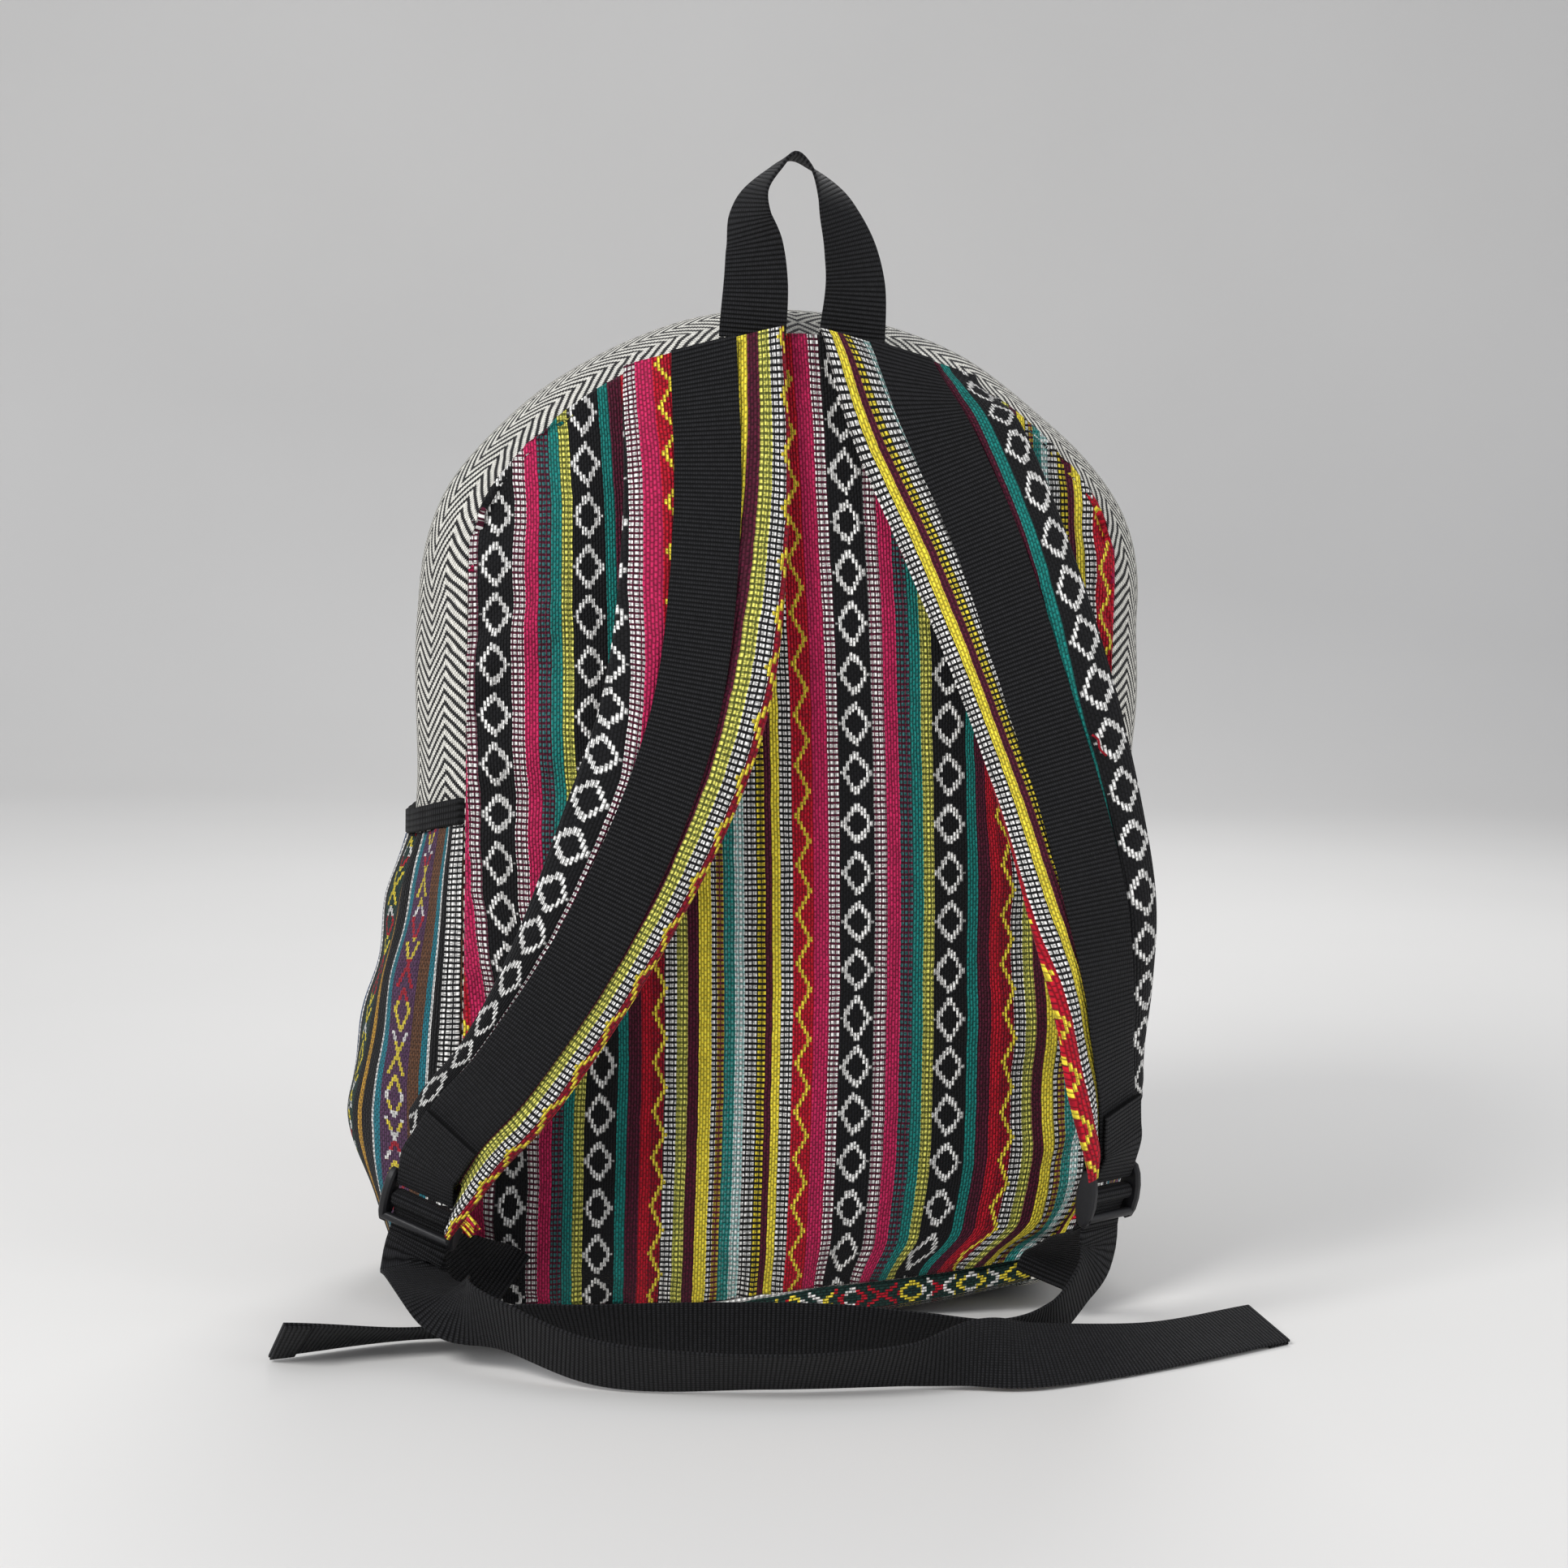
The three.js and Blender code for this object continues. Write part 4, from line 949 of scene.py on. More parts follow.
def herringbone_finish():
    finish = Finish(
        "herringbone cotton", Sheen_Weight=0.08, Sheen_Roughness=0.5, Specular_IOR_Level=0.2
    )
    tree = finish.tree
    across = finish.across + (finish.cloud(10.0) - 0.5) * 0.003
    along = finish.along + (finish.cloud(14.0) - 0.5) * 0.003
    height, tone = use(GRAIN, tree, across, along, HERRING_THREAD, 0.0024, 0.5)
    thread = (across / HERRING_THREAD).floor() * HERRING_THREAD
    fold = abs((thread / HERRING_REPEAT).fract() - 0.5) * HERRING_REPEAT * HERRING_SLOPE
    line = ((along + fold) / HERRING_PITCH).fract()
    dark = line.ramp(0.45, 0.54) * (1 - line.ramp(0.92, 1.0))
    colour = mixed(dark, (0.90, 0.88, 0.80, 1), (*BLACK, 1))
    # painted shade in the gaps between threads, where the grain is low, with a random tone for each
    # grain and a slow mottling of the dye
    painted_gap_shade_and_tone = (height * 0.4 + 0.66) * (tone * 0.3 + 0.85) * (finish.cloud(16.0) * 0.3 + 0.86)
    finish.set("Base Color", mixed(1.0, colour, grey(painted_gap_shade_and_tone), "MULTIPLY"))
    finish.set("Roughness", 0.9 - height * 0.1)
    finish.bump(height + (1 - dark) * 0.6, 0.0006, 0.9)
    return finish.material


herringbone = herringbone_finish()

# %% [markdown]
# The gusset is sewn between the two panels, all the way round from one base corner to the other.
# The stuffing pushes it out between its seams. The main zip splits it: a wide strip behind the zip,
# a narrow one in front of it, and under each end of the zip a short piece of cloth.

# %% Gusset
ZIP_Y, SLOT_HALF, ZIP_END_GAP = 0.030, 0.0096, 0.001
SLOT_REAR, SLOT_FRONT = ZIP_Y - SLOT_HALF, ZIP_Y + SLOT_HALF
BASE_Y, CORNER_LIFT = 0.0738, 0.012


def corner_lift(x, y):
    """The right base corner on the strap side is stuffed less and stands off the floor."""
    return CORNER_LIFT * smooth(x, 0.02, 0.125) * smooth(-y / BASE_Y, 0.5, 1.0)


def gusset_sheet(name, from_y, to_y, start, end, columns, rows, nodes, crest=0.0):
    """crest is how far the stuffing lifts the strip on top, more of it on the left."""
    def spot(a, b):
        distance = between(start, end, b)
        return distance, between(from_y, to_y, a), min(distance, SEAM_LENGTH - distance)

    def place(a, b):
        distance, y, run = spot(a, b)
        near = smooth(abs(y), 0.045, 0.069)
        soft = ripple((distance, y, 3), 0.045, 0.0022) * bulge(y)
        pucker = ripple((distance, 0, 7), 0.0075, 0.0011) * near * (1 - near) * 4
        swell = crest * math.sin(math.pi * a) * smooth(run, 0.36 if distance == run else 0.44, 0.52)
        point = gusset(distance, y, soft + pucker + swell)
        point.z += corner_lift(point.x, y) * (1 - smooth(point.z, 0.012, 0.045))
        return point

    def threads(a, b):
        _, y, run = spot(a, b)
        return (y + SEAM_Y) * 1.08 + 0.008 * (1 - smooth(run, 0.05, 0.36)), run

    outward = (0, 0, 1) if start < 0.2 < end else (start - 0.5, 0, 0)
    sheet = piece(
        name, cloth(columns, rows, place, threads, outward), herringbone, nodes
    )
    thicken(sheet, 0.0016)
    width, length = abs(to_y - from_y) * 1.15, end - start


gusset_sheet("gusset_rear", -SEAM_Y, SLOT_REAR, 0, SEAM_LENGTH, 26, 300,
             ["arch_gusset_rear", "left_side_gusset", "right_side_gusset"], crest=0.0045)
gusset_sheet("gusset_front", SLOT_FRONT, SEAM_Y, 0, SEAM_LENGTH, 10, 300, ["arch_gusset_front"])
for name, start, end in (
    ("left", 0, SPRING_RUN - ZIP_END_GAP),
    ("right", SEAM_LENGTH - SPRING_RUN + ZIP_END_GAP, SEAM_LENGTH),
):
    gusset_sheet(f"gusset_zip_end_{name}", SLOT_REAR, SLOT_FRONT, start, end, 8, 90, [])

# %% [markdown]
# ## Shoulder straps
# A strap is a long pad: cotton wrapped round foam, with the webbing sewn down its outer face, so
# the pad swells on both sides of the webbing and dips under its stitches. The stripes were cut
# straight while the strap curves, so other stripes reach its edges lower down.

# %% Strap pads
def ring(sides):
    """The corners of a circle of radius 1, as a section."""
    angles = np.linspace(0, 2 * math.pi, sides + 1)[:-1]
    return [(math.cos(angle), math.sin(angle)) for angle in angles]


PAD_SECTION = ring(32)
# for both sides of a strap: shares of its length, and in mm of the repeat the cloth that shows at
# the webbing's edge and at the pad's edge
STRAP_CLOTH = {
    ("left", -1): [
        (0, 0.28, 0.42, 0.5, 0.75, 1), (141.5, 148, 154, 158.5, 160.2, 161.2),
        (161, 165, 172, 176, 177, 177),
    ],
    ("left", 1): [
        (0, 0.3, 0.5, 0.75, 1), (102, 95, 93.5, 92.5, 92.3), (80, 79, 78, 77.5, 78),
    ],
    ("right", -1): [
        (0, 0.47, 0.62, 0.7, 0.82, 1), (115.8, 123.5, 126, 129, 133, 134.4),
        (139.4, 139.8, 140.5, 141.5, 145, 146),
    ],
    ("right", 1): [
        (0, 0.3, 0.47, 0.62, 1), (69.5, 66, 61, 59.6, 58.6), (44, 44, 44, 44, 45),
    ],
}
STRAP_START, STRAP_STEPS, WEBBING_BESIDE = -0.004, 110, -0.006
STRAP_CUT_BACK, STRAP_SLANT_RUN, STRAP_FLARE, STRAP_SHORTER = 0.012, 0.060, 0.010, 0.002
# length of the inner corner, and the distances from the middle between which it grows
STRAP_CORNER = {"left": (0.020, 0.0185, 0.0245), "right": (0.004, 0.014, 0.030)}
STITCHES, STITCH_DIP, PAD_SWELL_AT, PAD_SWELL = 0.0142, 0.0011, 0.024, 0.0016
# how far a pad narrows on its inner (True) or outer edge, and the shares of its length where
PAD_NARROWING = {
    ("left", True): (0.0085, 0.3, 0.75), ("left", False): (0.013, 0.5, 0.92),
    ("right", True): (0.004, 0.72, 1.0),
}
PAD_WIDER = 0.002


def off_middle(name, distance):
    """The right webbing was sewn a little beside the middle of its pad."""
    if name == "left":
        return 0.0
    share = distance / strap_routes[name].length
    return WEBBING_BESIDE * smooth(share, 0.2, 0.5) * smooth(share, 1.0, 0.82)


def strap_pad(name):
    """Makes a pad and returns the function that gives the places on it."""
    route = strap_routes[name]
    reach, *corner_run = STRAP_CORNER[name]

    def slanted(at, distance):
        cut = smooth(distance, route.length - STRAP_SLANT_RUN, route.length)
        inner = -SIDES[name] * at
        corner = reach * smooth(inner, *corner_run) - STRAP_CUT_BACK * smooth(-inner, 0.014, 0.027)
        flare = STRAP_FLARE * cut**2 * smooth(inner, 0.015, 0.028)
        return distance + cut * (corner - STRAP_SHORTER), flare

    def half_wide(across, distance):
        share, inner = distance / route.length, -SIDES[name] * across > 0
        if (name, inner) not in PAD_NARROWING:
            return strap_wide(route, distance) / 2 + PAD_WIDER * smooth(share, 0.6, 0.9)
        narrower, start, end = PAD_NARROWING[name, inner]
        return STRAP_WIDTH / 2 - narrower * smooth(share, start, end)

    def flat(share):
        across = math.copysign(abs(share[0]) ** 0.55, share[0])
        out = math.copysign(abs(share[1]) ** 0.75, share[1])
        return across, out

    def place(share, distance):
        across, out = flat(share)
        wide = half_wide(across, distance)
        end = smooth(distance, STRAP_START, 0.010) * smooth(route.length - distance, -0.004, 0.014)
        half = strap_half(route, distance) * (0.45 + 0.55 * end)
        at = across * wide
        off = abs(at - off_middle(name, distance))
        dip = math.exp(-(((off - STITCHES) / 0.0022) ** 2)) * STITCH_DIP
        swell = math.exp(-(((off - PAD_SWELL_AT) / 0.006) ** 2)) * PAD_SWELL if out > 0 else 0.0
        soft = ripple((at, distance, 11), 0.03, 0.0012)
        lift = out * half + (swell + soft - dip) * max(out, 0.0) * end
        along, flare = slanted(at, distance)
        return route.place(along, at, lift + flare)

    def threads(share, distance):
        across, _ = flat(share)
        edge, off = half_wide(across, distance), off_middle(name, distance)
        at, length_share = across * edge, distance / route.length
        side = 1 if at > off else -1
        shares, *rows = STRAP_CLOTH[name, side]
        by_webbing, by_edge = (np.interp(length_share, shares, row) for row in rows)
        from_webbing = abs(at - off) - WEBBING_WIDTH / 2
        part = from_webbing / (edge - side * off - WEBBING_WIDTH / 2)
        return between(by_webbing, by_edge, part) * MM, slanted(at, distance)[0]

    pad = piece(
        f"{name}_strap_pad",
        sleeve(PAD_SECTION, spread(STRAP_START, route.length, STRAP_STEPS), place, threads),
        striped_finish, [f"{name}_shoulder_strap"],
    )
    return place


strap_places = {name: strap_pad(name) for name in SIDES}

# %% [markdown]
# The webbing down each strap, the handle, the loops that hold the buckles and the adjusters that
# are threaded through them are all cut from the same roll. They are sleeves along their routes, and
# lie a hair above what they are sewn to.

# %% Strap webbing, handle and loops
HANDLE = [
    (-1, 0, 0), (-0.93, 0.3, 20), (-0.93, 0.5, 36), (-0.98, 0.67, 56), (-0.83, 0.8, 70),
    (-0.42, 0.92, 80), (0, 1, 90), (0.33, 0.94, 100), (0.66, 0.8, 122), (0.84, 0.66, 136),
    (0.99, 0.5, 148), (1.07, 0.3, 160), (1, 0, 180),
]
HANDLE_LEG_X, HANDLE_HEIGHT, HANDLE_LEAN, HANDLE_BASE = 0.0225, 0.081, -0.006, PANEL_TOP - 0.002
HANDLE_THICKNESS, CAD_CROWN = 0.0016, 0.014
HANDLE_Y = -(RIM_Y + CAD_CROWN * fullness(0, HANDLE_BASE) + GAP + HANDLE_THICKNESS / 2)


def handle_route():
    points, widths = [], []
    for across, up, turn in HANDLE:
        x, angle = across * HANDLE_LEG_X + up**2 * HANDLE_LEAN, math.radians(turn)
        points.append(Vector((x, HANDLE_Y, HANDLE_BASE + up * HANDLE_HEIGHT)))
        widths.append(Vector((-math.cos(angle), math.sin(angle), 0)))
    return Route(points, widths)


handle = handle_route()
piece("carry_handle", webbing(handle, spread(0, handle.length, 130), thickness=HANDLE_THICKNESS),
      webbing_finish, ["top_handle"])

WRAP = BAR_R + (1.3 * GAP + WEBBING_THICKNESS / 2) / MM
LOOP_LENGTH, LOOP_EASE, PLY = 0.022, 0.0007, WEBBING_THICKNESS + GAP
LOAD_OUT = -(BAR_R + 2.2 * WEBBING_THICKNESS / MM)
CORNER_FROM_SIDE, CORNER_SEAT, CORNER_FROM_BASE, CORNER_SEWN = 0.024, 0.0066, 0.014, 0.009


def around(bar, degrees):
    angle = math.radians(degrees)
    return bar[0] + WRAP * math.cos(angle), bar[1] + WRAP * math.sin(angle)


# in behind the buckle, round its middle bar and out under its lip
THREAD_PATH = [
    (LOAD_ENTRY, LOAD_OUT), (MIDDLE_BAR[0] + 4, LOAD_OUT + 0.4),
    (MIDDLE_BAR[0] - 1.5, LOAD_OUT + 1.6),
    *[around(MIDDLE_BAR, degrees) for degrees in (180, 135, 90, 45, 0)],
    (LIP_BAR[0] - 2, TAIL_OUT + 0.4), (TAIL_START, TAIL_OUT),
]


def loop_route(name):
    route, buckle = strap_routes[name], buckles[name]
    end = route.length
    legs = spread(end - LOOP_LENGTH, end, 3)

    def leg(plies, face):
        return [
            route.place(d, 0, face * (strap_half(route, d) + (plies - 0.5) * PLY + LOOP_EASE))
            for d in legs
        ]

    wide = [route.frame(d)[2] for d in legs]
    turns = [buckle.at(*around(SEWN_BAR, degrees)) for degrees in (80, 45, 0, -45, -80)]
    return Route(
        [*leg(2, 1), *turns, *leg(1, -1)[::-1]],
        [*wide, *[buckle.across] * len(turns), *wide[::-1]],
    )


def load_route(name):
    buckle, side = buckles[name], SIDES[name]
    thread = [buckle.at(*station) for station in THREAD_PATH]
    corner = Vector((
        side * (PANEL_HALF - CORNER_FROM_SIDE), -(RIM_Y + CORNER_SEAT),
        PANEL_BOTTOM + CORNER_FROM_BASE,
    ))
    towards = thread[0] - corner
    towards.y = 0
    towards.normalize()
    wide = Vector((towards.z, 0, -towards.x))
    sewn = corner + towards * CORNER_SEWN
    return Route(
        [corner, sewn, sewn.lerp(thread[0], 0.5), *thread],
        [wide, wide, wide + buckle.across, *[buckle.across] * len(thread)],
    )


def on_strap(route, distance):
    """The height of the webbing over the middle of the strap."""
    return strap_half(route, distance) + GAP + WEBBING_THICKNESS / 2


for name, route in strap_routes.items():
    band = webbing(route, spread(STRAP_START, route.length, STRAP_STEPS),
                   partial(on_strap, route), beside=partial(off_middle, name))
    piece(f"{name}_strap_band", band, webbing_finish, [f"{name}_strap_webbing"])
    loop = loop_route(name)
    piece(f"{name}_loop", webbing(loop, spread(0, loop.length, 70)),
          webbing_finish, [f"{name}_buckle_loop"])
    load = load_route(name)
    adjuster = piece(f"{name}_adjuster", webbing(load, spread(0, load.length, 120)),
                     webbing_finish, [f"{name}_adjuster_webbing"], body=None)
    tuple(load.place(0.012, 0, 0))
    tuple(buckles[name].at(LOAD_ENTRY, LOAD_OUT))
    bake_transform(adjuster)

# %% [markdown]
# The left strap has frayed near its raw end, and one red thread has come loose on the right strap.
# Each loose thread is a thin sleeve along a short curve; its place in the UV map picks its colour
# out of the striped cloth.

# %% Loose threads
YARN_SECTION, YARN_RADIUS, FRAYED_THREADS = ring(5), 0.00055, 18
RED_YARN, RED_LIFT = 0.0730, 0.0026
YARN_COLOURS = [0.0995, RED_YARN, 0.0995, 0.1520, RED_YARN]
FRAY_BACK, FRAY_RUN, FRAY_LENGTH, FRAY_UNEVEN, FRAY_BEND = 0.013, 0.006, 0.0065, 0.003, 0.0015
# shares of the strap's length and places across it that the loose red thread goes through
RED_PLACES = [(0.498, 0.0115), (0.505, 0.0135), (0.516, 0.0130), (0.526, 0.0150)]


def yarn(points, colour):
    route = Route(points, [(points[1] - points[0]).orthogonal().normalized()] * len(points))
    return sleeve(
        YARN_SECTION, spread(0, route.length, 7),
        lambda share, d: route.place(d, share[0] * YARN_RADIUS, share[1] * YARN_RADIUS),
        lambda share, d: (colour, d),
    )


def frayed_end(route, place):
    """Short threads on the edge of the pad, a little back from its end."""
    _, along, across, out = route.frame(route.length)
    for number in range(FRAYED_THREADS):
        share = number / FRAYED_THREADS
        angle = 0.10 - 0.40 * share
        distance = route.length - FRAY_BACK + FRAY_RUN * share
        start = place((math.cos(angle), math.sin(angle) * 0.7), distance)
        spot = Vector((number, 7, 3)) * 1.7
        bend = across * (noise.noise(spot) + 0.3) + out * (noise.noise(spot * 2) - 0.3)
        length = FRAY_LENGTH + FRAY_UNEVEN * noise.noise(spot * 3)
        tip = start + (across * 0.9 + bend * 0.7 + along * 0.2).normalized() * length
        colour = YARN_COLOURS[number % len(YARN_COLOURS)]
        yield [start, start.lerp(tip, 0.5) + bend * FRAY_BEND, tip], colour


def loose_red(route):
    return [
        route.place(share * route.length, at, strap_half(route, share * route.length) + RED_LIFT)
        for share, at in RED_PLACES
    ], RED_YARN


frayed = frayed_end(strap_routes["left"], strap_places["left"])
strands_bm = bmesh.new()
for points, colour in [*frayed, loose_red(strap_routes["right"])]:
    single = bpy.data.meshes.new("thread")
    bm = yarn(points, colour)
    bm.to_mesh(single)
    bm.free()
    strands_bm.from_mesh(single)
    bpy.data.meshes.remove(single)
piece("loose_threads", strands_bm, striped_finish)

# %% [markdown]
# ## Base and side pockets
# Both are cut from darker cottons with rows of crosses and rings in three colours. They are banded
# cloths like the striped one, so each of them needs only its own two lists.

# %% Pocket and base finishes
PURPLE, BROWN, DARK_GREEN = (0.085, 0.034, 0.085), (0.130, 0.056, 0.026), (0.010, 0.036, 0.030)
BLUE, GOLD, PETROL = (0.014, 0.075, 0.19), (0.50, 0.27, 0.03), (0.012, 0.17, 0.22)
CHARM = [YELLOW, RED, WHITE]
POCKET_BANDS = [
    (6.0, BLACK, WHITE, 1), (4.0, BLACK, BLACK, 0), (1.6, WHITE, BLACK, 0.5),
    (4.4, PETROL, BLACK, 0.1), (8.0, BROWN, BLACK, 0.3), (18.0, PURPLE, BLACK, 0.25),
    (4.4, PETROL, BLACK, 0.1), (1.6, WHITE, BLACK, 0.5), (8.0, BLACK, BLACK, 0),
    (3.0, GOLD, BROWN, 0.4), (5.0, BLACK, BLACK, 0), (14.0, DARK_GREEN, BLACK, 0.3),
    (3.0, BLACK, BLACK, 0), (2.2, WHITE, BLACK, 0.5), (6.0, BLUE, BLACK, 0.2),
    (4.0, BROWN, BLACK, 0.3),
]
POCKET_MOTIFS = [
    (CROSSES, 33.0, CHARM, 0.045, 0.0056, 0.0012), (CROSSES, 71.0, CHARM, 0.036, 0.0045, 0.0011),
]
BASE_BANDS = [
    (1.6, WHITE, BLACK, 0.5), (18.4, DARK_GREEN, BLACK, 0.35), (3.0, BLACK, WHITE, 0.9),
    (9.0, DARK_GREEN, BLACK, 0.3), (3.0, MAROON, BLACK, 0.3),
]
BASE_MOTIFS = [(CROSSES, 8.0, CHARM, 0.028, 0.0044, 0.0011)]
pocket_finish = banded_cloth("pocket cotton", POCKET_BANDS, POCKET_MOTIFS)
base_finish = banded_cloth("base cotton", BASE_BANDS, BASE_MOTIFS)

# %% [markdown]
# The base is a shallow pan: a closed sleeve whose sections are rings round the bag, from its left
# to its right. The right corner on the strap side is stuffed less, so it stands off the floor.

# %% Base pan
BASE_HALF, BASE_OVERLAP, BASE_END_RISE, BASE_END_NARROWING = 0.139, 0.0005, 0.006, 0.1
BASE_CLOTH_START, BASE_SIDE = 0.02, 0.97
BASE_SECTION = [
    (-0.98, 1), (-1, 0.75), (-1, 0.45), (-0.985, 0.2), (-0.95, 0.04), (-0.8, 0), (-0.4, 0), (0, 0),
    (0.4, 0), (0.8, 0), (0.95, 0.04), (0.985, 0.2), (1, 0.45), (1, 0.75), (0.98, 1), (0.5, 1),
    (0, 1), (-0.5, 1),
]


def base_place(share, x):
    across, up = share
    narrow = 1 - BASE_END_NARROWING * smooth(abs(x), BASE_HALF - BASE_R, BASE_HALF)
    low = BASE_END_RISE * smooth(abs(x), 0.075, BASE_HALF) + corner_lift(x, across * BASE_Y)
    high = seam_line(x) + BASE_OVERLAP
    return Vector((x, across * BASE_Y * narrow, between(low, high, up)))


def base_threads(share, x):
    across, _ = share
    if abs(across) < BASE_SIDE:
        return across * BASE_Y + BASE_CLOTH_START, x
    return seam_line(x) + BASE_OVERLAP - base_place(share, x).z, x


base = piece(
    "base_pan",
    sleeve(BASE_SECTION, spread(-BASE_HALF, BASE_HALF, 60), base_place, base_threads),
    base_finish, ["base_panel"],
)

# %% [markdown]
# A side pocket is a pouch sewn to the gusset along three sides. Its mouth is gathered by an
# elastic, so folds run down from the mouth and up from the base seam, and the cloth bellies out
# between them. The elastic is a ribbed band that follows the mouth.

# %% Side pockets
POCKET_TOP, POCKET_EDGE, POCKET_MOUTH = 0.222, 0.0698, 0.0015
POCKET_LOW_RUN = BASE_R * math.radians(36)
POCKET_TOP_RUN = CORNER_RUN + POCKET_TOP - CORNER_TOP
POCKET_LOW, POCKET_RUN = seam(POCKET_LOW_RUN)[1], POCKET_TOP_RUN - POCKET_LOW_RUN
POUCH_FLAT, POUCH_GRID, POUCH_BULGE = (0.165, 0.225), 90, {"left": 0.033, "right": 0.006}
ELASTIC_HALF, ELASTIC_OUT, ELASTIC_SWELL = 0.006, 0.0018, 0.0014


def pouch(y):
    """1 in the middle of a pocket and 0 at its two upright seams."""
    return max(0.0, 1 - (y / POCKET_EDGE) ** 2) ** 0.7


def pocket_y(a):
    return POCKET_EDGE * (2 * eased(a, 0.6) - 1)


def side_pocket(name, side):
    def from_base(distance):
        return distance if side < 0 else SEAM_LENGTH - distance

    def higher(y):
        """The left mouth was gathered askew: it rises towards the strap side."""
        return 0.004 + 0.005 * smooth(-y, -0.02, POCKET_EDGE) if side < 0 else 0.0

    def place(a, b):
        y = pocket_y(a)
        distance = from_base(POCKET_LOW_RUN + POCKET_RUN * b + higher(y) * b**2)
        height = max(0.0, (seam(distance)[1] - POCKET_LOW) / (POCKET_TOP - POCKET_LOW))
        foot = math.sqrt(1 - (1 - min(1.0, height / 0.15)) ** 2)
        out = POUCH_BULGE[name] * (1 - height**1.7) * foot + POCKET_MOUTH * height
        gather = 0.0026 * smooth(b, 0.45, 1.0) + 0.0016 * smooth(1 - b, 0.75, 1.0) + 0.0006
        folds = ripple((y, b * 0.02, side), 0.0085, gather)
        folds += ripple((y, b * 0.2, 5 + side), 0.035, 0.004)
        seat = 0.0008 + 0.0027 * smooth(POCKET_EDGE - abs(y), 0, 0.006)
        return gusset(distance, y, seat + (out + folds) * pouch(y))

    def threads(a, b):
        from_seam = pocket_y(a) + POCKET_EDGE
        across = from_seam * 1.2 + 0.007 * smooth(from_seam, 0, 0.020)
        return across, POCKET_RUN * b * 1.1

    pocket = piece(
        f"{name}_pouch", cloth(POUCH_GRID, POUCH_GRID, place, threads, (side, 0, 0)),
        pocket_finish, [f"{name}_side_pocket"],
    )
    thicken(pocket, 0.0014)

    def band_place(share, y):
        distance = POCKET_TOP_RUN + higher(y) + GAP + ELASTIC_HALF * (share[0] + 1)
        out = ELASTIC_OUT + POCKET_MOUTH * pouch(y) + ELASTIC_SWELL * share[1]
        soft = ripple((y, 0, side * 3), 0.010, 0.0012) * pouch(y)
        return gusset(from_base(distance), y, out + soft)

    piece(f"{name}_mouth_band",
          sleeve(WEBBING_SECTION, spread(-POCKET_EDGE, POCKET_EDGE, 80), band_place,
                 lambda share, y: (y, share[0] * ELASTIC_HALF)),
          elastic_finish, [f"{name}_pocket_elastic"])


for name, side in SIDES.items():
    side_pocket(name, side)

# %% [markdown]
# ## The front pocket and the zips
# The front pocket is a soft box with a crowned face. Its grid has lines where the zip's slot is, so
# the faces in the slot can be deleted. Its stripes turn over its edges with the cloth.

# %% Front pocket
FRONT_Y, FRONT_HALF, FRONT_LOW, FRONT_TOP, FRONT_R = 0.109, 0.116, 0.024, 0.212, 0.034
FRONT_ZIP_Z, FRONT_ZIP_HALF, FRONT_EDGE = 0.172, 0.0943, 0.014
FRONT_MIDDLE, FRONT_TALL = (FRONT_LOW + FRONT_TOP) / 2, (FRONT_TOP - FRONT_LOW) / 2
FRONT_FLAT, SEAT_CROWN, SEAT_SUNK = (0.290, 0.245), 0.017, 0.001


def stations(*parts):
    """Shares in order: (start, end, steps) for each part, with the ends shared."""
    found = [parts[0][0]]
    for start, end, steps in parts:
        found += spread(start, end, steps)[1:]
    return found


slot_low, slot_high = (
    (FRONT_ZIP_Z + side * SLOT_HALF - FRONT_MIDDLE) / FRONT_TALL for side in (-1, 1)
)
slot_side = FRONT_ZIP_HALF / FRONT_HALF
FRONT_COLUMNS = stations((-1, -slot_side, 12), (-slot_side, slot_side, 40), (slot_side, 1, 12))
FRONT_ROWS = stations(
    (-1, -0.75, 10), (-0.75, slot_low, 30), (slot_low, slot_high, 4), (slot_high, 1, 10)
)


def front_spot(a, b):
    """Two shares from the middle to the edges, and the place on the pocket, seen flat."""
    s = FRONT_COLUMNS[round(a * (len(FRONT_COLUMNS) - 1))]
    t = FRONT_ROWS[round(b * (len(FRONT_ROWS) - 1))]
    corner = max(0.0, abs(t) * FRONT_TALL - (FRONT_TALL - FRONT_R))
    half = FRONT_HALF - FRONT_R + math.sqrt(max(0.0, FRONT_R**2 - corner**2))
    return s, t, s * half, FRONT_MIDDLE + t * FRONT_TALL


def front_place(a, b):
    s, t, x, z = front_spot(a, b)

    def edge(gap):
        return math.sqrt(max(0.0, 1 - (1 - min(1.0, gap / FRONT_EDGE)) ** 2))

    rise = edge((1 - abs(s)) * FRONT_HALF) * edge((1 - abs(t)) * FRONT_TALL)
    seat = RIM_Y + SEAT_CROWN * fullness(x, z) - SEAT_SUNK
    soft = ripple((x, z, 21), 0.04, 0.0014) + 0.0015 * (1 - s * s) * (1 - t * t)
    calm = smooth(abs(z - FRONT_ZIP_Z), SLOT_HALF, SLOT_HALF + 0.02)
    return Vector((x, between(seat, FRONT_Y, rise) + soft * rise * calm, z))


def front_threads(a, b):
    s, t, x, z = front_spot(a, b)
    depth = FRONT_Y - front_place(a, b).y
    across, up = (
        at + math.copysign(depth * smooth(abs(share), 0.8, 1.0), share)
        for at, share in ((x, s), (z, t))
    )
    return across * 1.15 - FRONT_SHIFT + FIRST_DIAMOND * MM, up


